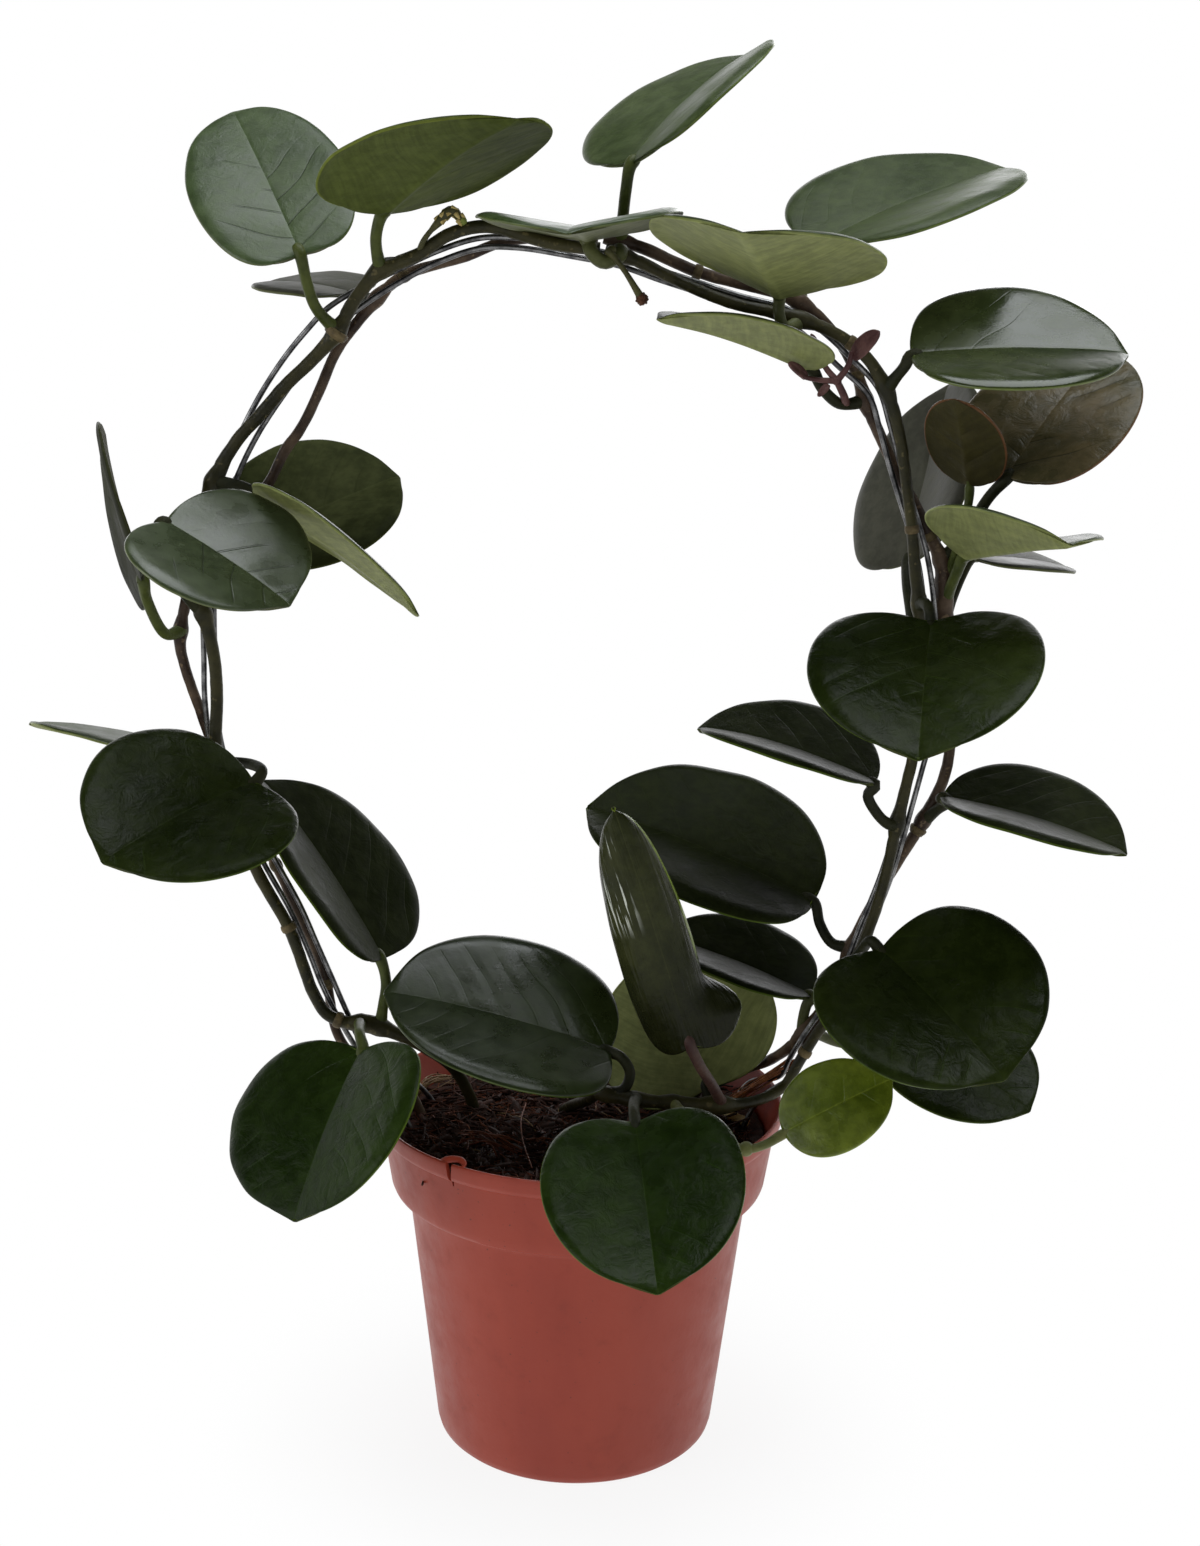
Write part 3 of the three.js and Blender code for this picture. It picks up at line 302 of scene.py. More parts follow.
# Colours as they look in daylight. gloss: roughness above; shine: index of refraction; vein: how plainly the
# side veins show, and tone: how light they are; swell: how far the skin puffs up between them; wrinkle: fine
# wrinkles, mm; streak: long wrinkles, mm
leafFinishes = {
    "dark": dict(top=(22, 35, 7), light=(36, 51, 14), under=(84, 90, 50), rim=(96, 116, 40), gloss=0.27,
        shine=1.18, vein=1, tone=2.1, swell=0.7, wrinkle=0.5, slot="leaf_dark"),
    "deep": dict(top=(25, 34, 8), light=(39, 48, 16), under=(76, 82, 46), rim=(80, 98, 34), gloss=0.27,
        shine=1.18, vein=1, tone=2.1, swell=0.7, wrinkle=0.5, slot="leaf_dark"),
    "dull": dict(top=(26, 31, 13), light=(38, 43, 21), under=(76, 82, 46), rim=(80, 98, 34), gloss=0.36,
        shine=1.09, vein=0.7, tone=1.8, swell=0.5, wrinkle=0.3, slot="leaf_dark"),
    "satin": dict(top=(27, 36, 12), light=(38, 48, 18), under=(76, 82, 46), rim=(80, 98, 34), gloss=0.28,
        shine=1.42, vein=0.7, tone=1.6, swell=0.4, wrinkle=0.08, slot="leaf_dark"),
    "matt": dict(top=(36, 40, 19), light=(60, 64, 38), under=(70, 76, 42), rim=(70, 76, 34), gloss=0.5,
        shine=1.06, vein=0.3, tone=0.8, swell=0.2, wrinkle=0.2, slot="leaf_dark"),
    "cloudy": dict(top=(50, 65, 34), light=(66, 80, 48), under=(96, 100, 70), rim=(92, 102, 50), gloss=0.36,
        shine=1.38, vein=1, tone=0.45, swell=0.4, wrinkle=0.2, slot="leaf_grey"),
    "sage": dict(top=(52, 64, 33), light=(68, 79, 46), under=(100, 108, 72), rim=(108, 124, 60), gloss=0.42,
        shine=1.26, vein=0.4, tone=1.3, swell=0.25, wrinkle=0.2, slot="leaf_dark"),
    "glossy": dict(top=(36, 46, 17), light=(52, 60, 27), under=(90, 96, 60), rim=(104, 118, 52), gloss=0.2,
        shine=1.44, vein=0.3, tone=0.7, swell=0.15, wrinkle=0.07, slot="leaf_dark"),
    "veined": dict(top=(50, 60, 36), light=(66, 76, 50), under=(96, 100, 70), rim=(96, 106, 52), gloss=0.28,
        shine=1.48, vein=1, tone=0.55, swell=0.5, wrinkle=0.08, slot="leaf_grey"),
    "shaded": dict(top=(32, 34, 22), light=(46, 48, 32), under=(66, 66, 50), rim=(60, 62, 40), gloss=0.5,
        shine=1.08, vein=1, tone=0.55, swell=0.8, wrinkle=0.4, slot="leaf_grey"),
    "grey": dict(top=(56, 56, 46), light=(70, 70, 59), under=(100, 102, 80), rim=(96, 102, 60), gloss=0.46,
        shine=1.24, vein=0.25, tone=0.7, swell=0.1, wrinkle=0.2, slot="leaf_grey"),
    "olive": dict(top=(46, 56, 24), light=(62, 71, 34), under=(76, 85, 41), rim=(112, 122, 52), gloss=0.46,
        shine=1.12, vein=0.3, tone=0.8, swell=0.3, wrinkle=0.3, slot="leaf_pale"),
    "pale": dict(top=(46, 56, 28), light=(62, 72, 40), under=(118, 124, 74), rim=(132, 140, 80), gloss=0.42,
        shine=1.3, vein=0.2, tone=0.8, swell=0.2, wrinkle=0.2, slot="leaf_pale"),
    "bronze": dict(top=(62, 60, 38), light=(92, 80, 56), under=(50, 46, 18), rim=(112, 70, 44), gloss=0.32,
        shine=1.28, vein=1, tone=0.45, swell=1.3, wrinkle=0.6, slot="leaf_brown"),
    "young": dict(top=(64, 78, 12), light=(108, 120, 34), under=(108, 120, 46), rim=(130, 148, 40), gloss=0.3,
        shine=1.4, vein=0.7, tone=1.5, swell=0.6, wrinkle=0.2, slot="leaf_young"),
    "curled": dict(top=(36, 40, 17), light=(52, 55, 28), under=(70, 76, 40), rim=(122, 142, 40), gloss=0.24,
        shine=1.22, vein=0.1, tone=1, swell=0.05, wrinkle=0.2, streak=0.8, slot="leaf_dark"),
}

# The curled leaf: its light margin shows where the blade turns away, at a share of the half's width; pale
# streaks on its upper left are painted glints (painted highlights), and its foot is darkened with painted shade;
# mm across and along the blade
curledLook = {"margin": (0.52, 0.6, 0.84, 0.9), "marginAlong": (20, 28), "marginAcross": (1, 3),
              "marginShare": 0.9, "glintAcross": (-15, -12, -5, -2), "glintAlong": (36, 44, 62, 68),
              "paintedGlint": (196, 200, 188), "glintFrom": 0.54, "glintTo": 0.6, "glintScale": (0.8, 0.045),
              "streakScale": (0.42, 0.035), "footAlong": (6, 34), "footPaintedShade": 0.42}

# Side veins and midrib, in mm; shown: where the noise lets the veins show; strength and light: of their colour
veinLook = {"spacing": 10, "sweep": 0.55, "bend": 0.012, "stagger": 2.3, "wander": 13, "line": (0.1, 0.5),
            "valley": 3.4, "shown": (0.42, 0.58), "fromRim": (2, 8), "depth": 0.07, "valleyDepth": 0.22,
            "strength": 0.7, "midrib": (0.1, 0.3), "midribStrength": 0.4, "midribLight": 1.3}

# How fine each pattern is on the skin; the rest are shares, and mm for pores, keel, rim and wax
skinLook = {"drift": 30, "shown": 42, "blotch": 30, "mottle": 240, "sheen": 60, "pores": 1300, "crinkle": 150,
            "poreDepth": 0.024, "mottleRange": (0.86, 1.12), "grain": (0.06, 0.55), "grainRange": (0.84, 1.12),
            "keel": (0.5, 1.6), "keelStrength": 0.4, "keelLight": 1.3, "rim": (0.15, 0.5), "rimStrength": 0.6,
            "sheenRange": (-0.06, 0.1), "wax": (0.2, 1.6), "waxShare": 0.6, "underRough": 0.62,
            "turnover": (0.45, 0.6)}


def leafSkin(name, finish):
    # rib and run are mm across and along the blade, rim is mm from the margin, under is 0 above and 1 below
    material, nodes, shader, where = newMaterial("leafSkin_" + name, IOR=finish["shine"])
    rib, run = nodes.attribute("rib"), nodes.attribute("run")
    rim, under = nodes.attribute("rim"), nodes.attribute("under")
    away = nodes.math("ABSOLUTE", rib)
    # distance along the blade, measured down the slanting veins
    swept = nodes.plus(nodes.times(away, veinLook["sweep"]), nodes.times(nodes.times(away, away), veinLook["bend"]))
    drift = nodes.times(nodes.minus(nodes.noise(where, skinLook["drift"], 1), 0.5), veinLook["wander"])
    stagger = nodes.times(nodes.math("SIGN", rib), veinLook["stagger"])
    reach = nodes.plus(nodes.minus(run, swept), nodes.plus(drift, stagger))
    phase = nodes.math("FRACT", nodes.math("DIVIDE", reach, veinLook["spacing"]))
    toVein = nodes.times(nodes.math("ABSOLUTE", nodes.minus(phase, 0.5)), veinLook["spacing"])
    shown = nodes.ramp(nodes.noise(where, skinLook["shown"], 2), *veinLook["shown"])
    shown = nodes.times(nodes.ramp(rim, *veinLook["fromRim"]), shown)
    line = nodes.times(nodes.ramp(toVein, *veinLook["line"], 1, 0), shown)
    valley = nodes.times(nodes.ramp(toVein, 0, veinLook["valley"], 1, 0), shown)
    midrib = nodes.times(nodes.ramp(away, *veinLook["midrib"], 1, 0), veinLook["midribStrength"])
    # upper face
    blotch = nodes.noise(where, skinLook["blotch"], 5, 0.6)
    top = nodes.mix(nodes.ramp(blotch, 0.3, 0.72), srgb(*finish["top"]), srgb(*finish["light"]))
    veins = nodes.times(line, veinLook["strength"] * finish["vein"])
    top = nodes.mix(veins, top, shade(finish["top"], finish["tone"]))
    top = nodes.mix(midrib, top, shade(finish["light"], veinLook["midribLight"]))
    # lower face, with fine lines along the veins
    grain = nodes.pair(rib, skinLook["grain"][0], reach, skinLook["grain"][1])
    striae = nodes.ramp(nodes.noise(grain, 1, 4, 0.6), 0.3, 0.7)
    below = nodes.mix(striae, *(shade(finish["under"], factor) for factor in skinLook["grainRange"]))
    keel = nodes.times(nodes.ramp(away, *skinLook["keel"], 1, 0), skinLook["keelStrength"])
    below = nodes.mix(keel, below, shade(finish["under"], skinLook["keelLight"]))
    skin = nodes.mix(nodes.ramp(under, *skinLook["turnover"]), top, below)
    edge = nodes.times(nodes.ramp(rim, *skinLook["rim"], 1, 0), skinLook["rimStrength"])
    skin = nodes.mix(edge, skin, srgb(*finish["rim"]))
    # the curled leaf gets its light margin, painted glints and painted shade at its foot
    if "streak" in finish:
        skin = curledMarks(nodes, skin, finish, rib, run, rim)
    mottle = nodes.ramp(nodes.noise(where, skinLook["mottle"], 4, 0.65), 0.35, 0.65, *skinLook["mottleRange"])
    sheen = [finish["gloss"] + change for change in skinLook["sheenRange"]]
    patchy = nodes.ramp(nodes.noise(where, skinLook["sheen"], 4, 0.6), 0.3, 0.7, *sheen)
    # the wax is smoother along the margin
    waxy = nodes.ramp(rim, *skinLook["wax"], finish["gloss"] * skinLook["waxShare"], patchy)
    rough = nodes.ramp(under, *skinLook["turnover"], waxy, skinLook["underRough"])
    # relief in mm
    pores = nodes.times(nodes.noise(where, skinLook["pores"], 2), skinLook["poreDepth"])
    crinkle = nodes.times(nodes.noise(where, skinLook["crinkle"], 6, 0.6, 0.8), finish["wrinkle"])
    height = nodes.minus(nodes.plus(pores, crinkle), nodes.times(line, veinLook["depth"] * finish["vein"]))
    height = nodes.minus(height, nodes.times(valley, veinLook["valleyDepth"] * finish["swell"]))
    if "streak" in finish:
        long = nodes.pair(rib, curledLook["streakScale"][0], run, curledLook["streakScale"][1])
        height = nodes.plus(height, nodes.times(nodes.noise(long, 1, 3, 0.6), finish["streak"]))
    nodes.finish(shader, nodes.dim(skin, mottle), rough, height, 1.0, mm)
    return material


def curledMarks(nodes, skin, finish, rib, run, rim):
    look = curledLook
    # painted shade: the blade is darkened towards its foot
    skin = nodes.dim(skin, nodes.ramp(run, *look["footAlong"], look["footPaintedShade"], 1))
    away = nodes.math("ABSOLUTE", rib)
    share = nodes.math("DIVIDE", away, nodes.plus(away, nodes.math("MAXIMUM", rim, 0.01)))
    right = nodes.times(nodes.ramp(rib, *look["marginAcross"]), nodes.ramp(run, *look["marginAlong"]))
    margin = nodes.times(nodes.band(share, look["margin"]), right)
    skin = nodes.mix(nodes.times(margin, look["marginShare"]), skin, srgb(*finish["rim"]))
    # painted glints: pale streaks on the upper left stand in for highlights
    fine = nodes.pair(rib, look["glintScale"][0], run, look["glintScale"][1])
    paintedGlint = nodes.ramp(nodes.noise(fine, 1, 3, 0.6), look["glintFrom"], look["glintTo"])
    paintedGlint = nodes.times(paintedGlint, nodes.band(rib, look["glintAcross"]))
    paintedGlint = nodes.times(paintedGlint, nodes.band(run, look["glintAlong"]))
    return nodes.mix(paintedGlint, skin, srgb(*look["paintedGlint"]))


def stemSkin(name, low, high, rough, scale=120, fleck=None):
    material, nodes, shader, where = newMaterial(name, IOR=1.26)
    blotch = nodes.noise(where, scale, 5, 0.6)
    colour = nodes.mix(nodes.ramp(blotch, 0.32, 0.68), srgb(*low), srgb(*high))
    if fleck:
        spots = nodes.times(nodes.ramp(nodes.noise(where, scale * 5, 2), 0.62, 0.72), 0.7)
        colour = nodes.mix(spots, colour, srgb(*fleck))
    rough = nodes.ramp(blotch, 0.3, 0.7, rough - 0.08, rough + 0.1)
    nodes.finish(shader, colour, rough, nodes.noise(where, scale * 6, 4, 0.6), 0.5, 0.5 * mm)
    return material


petioleSkins = {
    "green": stemSkin("petioleGreen", (50, 58, 22), (74, 82, 36), 0.42),
    "olive": stemSkin("petioleOlive", (60, 64, 34), (86, 90, 54), 0.45),
    "dark": stemSkin("petioleDark", (24, 27, 12), (42, 43, 23), 0.55),
    "purple": stemSkin("petiolePurple", (58, 40, 38), (80, 60, 50), 0.45),
    "light": stemSkin("petioleLight", (94, 98, 56), (124, 124, 76), 0.45),
}

# The blade and its petiole, in mm, degrees and shares; knuckle: radii of the small swelling where they meet
leafShape = {"tip": 0.03, "tipSharpness": 0.13, "skew": 0.08, "roundness": 0.92, "rollPlaces": (0.05, 0.45),
             "turnFrom": 0.78, "turnDown": 20, "slopeSteps": 20, "thickness": 1.8, "rimThickness": 0.9, "rings": 64,
             "groove": 0.07, "grooveWidth": 0.4, "keel": 0.5, "keelWidth": 1.1, "edgeRound": 0.7, "endRound": 0.35,
             "wave": 0.28, "waveSize": 17, "ruffle": 0.55, "ruffleSize": 13}
petioleShape = {"radius": 1.6, "slim": 0.97, "top": (0.18, 3, 3), "foot": (0.32, 3.5), "sides": 14, "spacing": 0.9,
                "knuckle": (0.4, 0.7, 0.85, 0.9, 0.8, 0.65, 0.45, 0.3, 0.2), "knuckleSides": 10, "bead": 2.1}

# Steps across one half, closer together at the midrib and at the margin
halfSteps = (1 - np.cos(np.linspace(0, math.pi, 23))) / 2
acrossSteps = np.concatenate([-halfSteps[:0:-1], halfSteps])

# Kinds of blade, in degrees. fold: how far each half rises from the midrib; curl: how far its margin turns back
# down; arch: bend from base to tip; lobe: how far the base reaches back. A leaf may also have roll: how much
# further its halves turn down, between two places along each half
flatBlade = {"fold": 9, "curl": 5, "arch": 15, "lobe": 0.15}
heartBlade = {"fold": 17, "curl": 2, "arch": 16, "lobe": 0.2}
ovalBlade = {"fold": 17, "curl": 2, "arch": 12, "lobe": 0.05}
foldedBlade = {"fold": 23, "curl": 2, "arch": 14, "lobe": 0}

# Base and petiole points: picture x, picture y, depth; tip: picture x, picture y; length and width in mm. A leaf
# whose tip is further off than its base is away, and a petiole is dark unless stalk says otherwise
leaves = {
    "leaf_top_left_upright": dict(flatBlade, base=(300, 253, -14), tip=(232, 109), away=True, length=68,
        width=44, face=(-0.1, -0.6, 0.8), finish="cloudy", stalk="green", petiole=[(306, 279, -11),
        (315, 306, -8), (327, 321, -5), (338, 330, front)]),
    "leaf_top_left_level": dict(flatBlade, base=(381, 211, -6), tip=(515, 115), length=58, width=65,
        face=(-0.3, 0.3, 0.9), curl=1, lobe=0.08, finish="olive", stalk="green", petiole=[(376, 237, -6),
        (378, 258, -5), (382, 269, front)]),
    "leaf_top_left_small": dict(flatBlade, base=(352, 292, 12), tip=(266, 281), away=True, length=32, width=36,
        face=(0, -0.15, 1), finish="grey", petiole=[(364, 298, 9), (376, 300, back)]),
    "leaf_top_highest": dict(ovalBlade, base=(629, 162, -4), tip=(750, 51), away=True, length=60, width=58,
        face=(-0.5, -0.25, 0.85), arch=18, lobe=0.1, finish="sage", stalk="green", petiole=[(626, 190, -4),
        (623, 216, -1), (620, 241, back)]),
    "leaf_top_edge_on": dict(foldedBlade, base=(588, 236, -5), tip=(567, 231), length=62, width=54,
        face=(-0.04, 0, 1), fold=17, lobe=0.25, radius=2, finish="cloudy", stalk="olive",
        petiole=[(592, 253, -8.5), (604, 262, -8), (617, 256, -6), (620, 252, front)]),
    "leaf_top_forward": dict(foldedBlade, base=(780, 293, -8), tip=(742, 229), length=66, width=63,
        face=(0.15, 0.2, 1), arch=3, finish="pale", stalk="olive", petiole=[(779, 312, -9), (784, 327, -8),
        (800, 322, front)]),
    "leaf_top_right": dict(ovalBlade, base=(812, 246, 12), tip=(1008, 166), away=True, length=70, width=68,
        face=(-0.2, -0.3, 0.95), lobe=0, finish="sage", stalk="green", petiole=[(808, 262, 11), (802, 282, 7),
        (800, 303, back)]),
    "leaf_right_inward": dict(foldedBlade, base=(813, 367, -3), tip=(657, 316), length=48, width=44,
        face=(0.25, 0.15, 0.95), lobe=0.15, finish="pale", petiole=[(822, 388, -2), (838, 403, 0),
        (850, 404, 2), (865, 400, back)]),
    "leaf_right_glossy": dict(ovalBlade, base=(911, 353, -10), tip=(1130, 352), away=True, length=58, width=60,
        face=(-0.05, -0.4, 0.9), finish="glossy", petiole=[(905, 366, -9), (896, 377, -6), (887, 388, front)]),
    "leaf_right_brown": dict(flatBlade, base=(1006, 476, -8), tip=(1102, 347), away=True, length=56, width=50,
        face=(-0.3, -0.5, 0.8), arch=8, finish="bronze", petiole=[(990, 496, -5), (966, 532, 2),
        (945, 558, back)]),
    "leaf_right_brown_small": dict(flatBlade, base=(971, 484, -3), tip=(955, 397), length=29, width=25,
        face=(0.5, 0.65, 0.5), lobe=0.05, radius=1.2, finish="bronze", stalk="green", petiole=[(968, 506, -3),
        (958, 545, -1), (946, 578, back)]),
    "leaf_right_behind": dict(ovalBlade, base=(905, 562, 22), tip=(948, 382), away=True, length=60, width=56,
        face=(-0.8, -0.3, 0.5), arch=3, lobe=0.15, finish="grey", petiole=[(907, 582, 14), (910, 606, 7),
        (914, 634, 2), (917, 654, front)]),
    "leaf_right_level": dict(foldedBlade, base=(964, 554, -3), tip=(1072, 543), length=46, width=52,
        face=(0.1, 0.3, 0.95), fold=33, arch=6, finish="pale", stalk="green", petiole=[(957, 572, -2),
        (945, 600, back)]),
    "leaf_right_level_behind": dict(flatBlade, base=(972, 556, 14), tip=(1070, 567), away=True, length=34,
        width=34, face=(0, -0.1, 1), radius=1.3, finish="grey", petiole=[(962, 576, 11), (946, 616, back)]),
    "leaf_right_heart": dict(heartBlade, base=(931, 620, -12), tip=(918, 759), length=60, width=64,
        face=(-0.15, -0.4, 0.9), finish="deep", petiole=[(929, 609, -11), (924, 603, -7), (919, 606, front)]),
    "leaf_inner_right_high": dict(foldedBlade, base=(876, 782, -8), tip=(697, 726), away=True, length=54,
        width=58, face=(0.2, -0.1, 0.95), arch=22, finish="dull", petiole=[(868, 795, -7), (876, 812, -6),
        (887, 823, -5), (898, 825, front)]),
    "leaf_outer_right_low": dict(foldedBlade, base=(942, 795, -6), tip=(1129, 853), length=54, width=58,
        face=(0.2, -0.15, 1), fold=21, arch=17, finish="dull", petiole=[(947, 803, -3), (938, 809, 0),
        (924, 820, back)]),
    "leaf_inner_right_large": dict(foldedBlade, base=(815, 900, 8), tip=(586, 805), away=True, length=74,
        width=72, face=(0.2, -0.35, 0.9), lobe=0.05, finish="dull", petiole=[(820, 924, 7), (832, 943, 5),
        (851, 948, back)]),
    "leaf_inner_right_low": dict(foldedBlade, base=(813, 994, 4), tip=(658, 933), away=True, length=50,
        width=50, face=(0.3, -0.15, 0.95), arch=10, finish="dull", stalk="olive", petiole=[(807, 1004, 4),
        (803, 1020, 4), (803, 1036, back)]),
    "leaf_right_low_large": dict(heartBlade, base=(880, 948, -16), tip=(1006, 1080), length=54, width=68,
        face=(0, -0.55, 0.8), lobe=0.25, finish="deep", petiole=[(872, 941, -15), (862, 950, -9),
        (854, 964, front)]),
    "leaf_right_low_behind": dict(flatBlade, base=(905, 1032, 8), tip=(1031, 1111), length=45, width=46,
        face=(0, -0.4, 0.9), finish="deep", stalk="olive", petiole=[(875, 1046, 8), (838, 1042, 7),
        (810, 1030, back)]),
    "leaf_young_bright": dict(flatBlade, base=(783, 1133, -43), tip=(893, 1078), length=34, width=27,
        face=(-0.25, -0.75, 0.6), lobe=0, radius=1.3, bead=(746, 1149, -47), finish="young", stalk="light",
        petiole=[(764, 1145, -46), (746, 1149, -47), (715, 1138, -40), (690, 1118, -29), (672, 1102, -18.5)]),
    "leaf_upright_curled": dict(flatBlade, base=(692, 1049, -33), tip=(613, 806), length=74, width=42,
        face=(0.1, -0.9, 0.3), roll=120, leftRoll=(-0.9, 0.5), rightRoll=(0.08, 0.24), lobe=0.2,
        finish="curled", stalk="purple", petiole=[(700, 1066, -30), (712, 1085, -23), (722, 1104, -15)]),
    "leaf_centre_behind": dict(flatBlade, base=(708, 1090, 8), tip=(656, 950), away=True, length=50, width=58,
        face=(0.2, 0.9, -0.4), arch=4, finish="pale", petiole=[(712, 1102, 4), (716, 1106, -6),
        (714, 1104, -16)]),
    "leaf_front_left": dict(ovalBlade, base=(611, 1050, -14), tip=(382, 990), away=True, length=68, width=62,
        face=(0.25, -0.4, 0.9), arch=15, lobe=0.15, finish="satin", petiole=[(622, 1058, -16), (630, 1073, -17),
        (624, 1089, -18), (606, 1094, -16)]),
    "leaf_front_hanging": dict(heartBlade, base=(635, 1121, -45), tip=(658, 1294), length=60, width=56,
        face=(-0.1, -0.4, 0.9), finish="dark", petiole=[(634, 1112, -40), (634, 1104, -32),
        (636, 1099, -19.5)]),
    "leaf_left_hanging": dict(heartBlade, base=(361, 1048, -26), tip=(293, 1222), length=53, width=68,
        face=(-0.55, -0.5, 0.7), finish="dark", stalk="green", petiole=[(360, 1036, -22), (360, 1027, -12),
        (360, 1023, front)]),
    "leaf_inner_left": dict(foldedBlade, base=(383, 958, -5), tip=(262, 778), away=True, length=64, width=67,
        face=(0.8, -0.2, 0.6), lobe=0.1, finish="dull", stalk="green", petiole=[(386, 982, -5), (383, 1006, -3),
        (380, 1027, front)]),
    "leaf_left_large": dict(heartBlade, base=(255, 780, -18), tip=(101, 862), length=51, width=65,
        face=(0.1, -0.45, 0.9), arch=19, lobe=0.13, finish="deep", petiole=[(262, 772, -16), (250, 764, -9),
        (221, 762, front)]),
    "leaf_left_behind": dict(flatBlade, base=(200, 762, 8), tip=(29, 721), away=True, length=52, width=48,
        face=(0.25, 0.2, 0.95), arch=8, finish="pale", stalk="olive", petiole=[(208, 768, 7),
        (219, 768, back)]),
    "leaf_left_glossy": dict(heartBlade, base=(165, 520, -31), tip=(291, 605), length=42, width=54,
        face=(0.35, -0.45, 0.8), arch=12, finish="veined", petiole=[(158, 528, -27), (166, 565, -15),
        (190, 600, -5), (203, 612, front)]),
    "leaf_left_edge_on": dict(flatBlade, base=(140, 582, -12), tip=(99, 427), away=True, length=48, width=54,
        face=(-1, -0.1, 0.15), lobe=0.3, finish="shaded", stalk="green", petiole=[(147, 600, -8),
        (166, 634, -2), (182, 630, back)]),
    "leaf_left_upper_behind": dict(heartBlade, base=(245, 540, 30), tip=(400, 475), away=True, length=50,
        width=62, face=(-0.2, -0.55, 0.8), arch=5, lobe=0.15, finish="matt", petiole=[(238, 536, 26),
        (236, 526, 16), (236, 515, back)]),
    "leaf_left_inward": dict(flatBlade, base=(262, 498, -5), tip=(422, 614), length=57, width=44,
        face=(0.6, 0.3, 0.7), finish="pale", petiole=[(250, 490, -4), (232, 484, -5), (214, 482, front)]),
}


def placeLeaf(row):
    leaf = dict(row)
    leaf["fold"], leaf["curl"] = math.radians(row["fold"]), math.radians(row["curl"])
    leaf["roll"] = math.radians(row.get("roll", 0))
    leaf["arch"] = math.radians(max(row["arch"], 0.5))
    leaf["base"] = px(*row["base"])
    chord = row["length"] * math.sin(leaf["arch"] / 2) / (leaf["arch"] / 2)
    tip = pixelAtDistance(*row["tip"], leaf["base"], chord, row.get("away", False))
    leaf["axis"] = unit(tip - leaf["base"])
    face = np.array(row["face"], float)
    leaf["face"] = unit(face - leaf["axis"] * (face @ leaf["axis"]))
    leaf["cross"] = np.cross(leaf["axis"], leaf["face"])
    return leaf


def outlineAt(angle, lobeDepth):
    # where the midrib and the margin are along the blade, and its width, from base to tip
    sharp = np.exp(-(math.pi - angle) / leafShape["tipSharpness"])
    along = (1 - np.cos(angle)) / 2 + leafShape["tip"] * sharp
    lobe = lobeDepth * np.sin(angle) * ((1 + np.cos(angle)) / 2) ** 3
    scale = 1 + leafShape["tip"]
    width = np.clip(np.sin(angle), 0, 1) ** leafShape["roundness"] * (1 + leafShape["skew"] * np.cos(angle))
    return along / scale, (along - lobe) / scale, width


def bladeSurface(leaf, angle, across):
    midrib, margin, width = outlineAt(angle, leaf["lobe"])
    side = np.abs(across)
    along = midrib + (margin - midrib) * side
    bend = leaf["arch"] / 2 - leaf["arch"] * along
    radius = leaf["length"] / leaf["arch"]
    forward = radius * (math.sin(leaf["arch"] / 2) - np.sin(bend))
    rise = radius * (np.cos(bend) - math.cos(leaf["arch"] / 2))
    left, right = (leaf.get(half, leafShape["rollPlaces"]) for half in ("leftRoll", "rightRoll"))
    rollFrom, rollTo = (np.where(across < 0, a, b) for a, b in zip(left, right))
    roll = leaf["roll"] * ramp(along, rollFrom, rollTo)
    # each half is nearly flat, and its margin turns down; its mean slope is that of fold and curl
    turnFrom, turnDown = leafShape["turnFrom"], math.radians(leafShape["turnDown"])
    share = (1 - turnFrom) / 2
    flank = ((leaf["fold"] - leaf["curl"]) / 2 + share * turnDown) / (1 - share)
    half = width * leaf["width"] / 2
    steps = leafShape["slopeSteps"]
    out, up = np.zeros_like(half), np.zeros_like(half)
    for k in range(steps):
        at = side * (k + 0.5) / steps
        slope = flank - (flank + turnDown) * ramp(at, turnFrom, 1) - roll * at
        out = out + half * side * np.cos(slope) / steps
        up = up + half * side * np.sin(slope) / steps
    lift = -np.sin(bend)[..., None] * leaf["axis"] + np.cos(bend)[..., None] * leaf["face"]
    points = leaf["base"] + forward[..., None] * leaf["axis"] + rise[..., None] * leaf["face"]
    points = points + (np.sign(across) * out)[..., None] * leaf["cross"] + up[..., None] * lift
    return points, along * leaf["length"], across * half, (1 - side) * half


def softNoise(points, size, seed):
    shift = Vector((seed * 7.3, seed * 3.1, seed))
    values = [noise.noise(Vector(p / size) + shift) for p in points.reshape(-1, 3)]
    return np.array(values).reshape(points.shape[:-1])


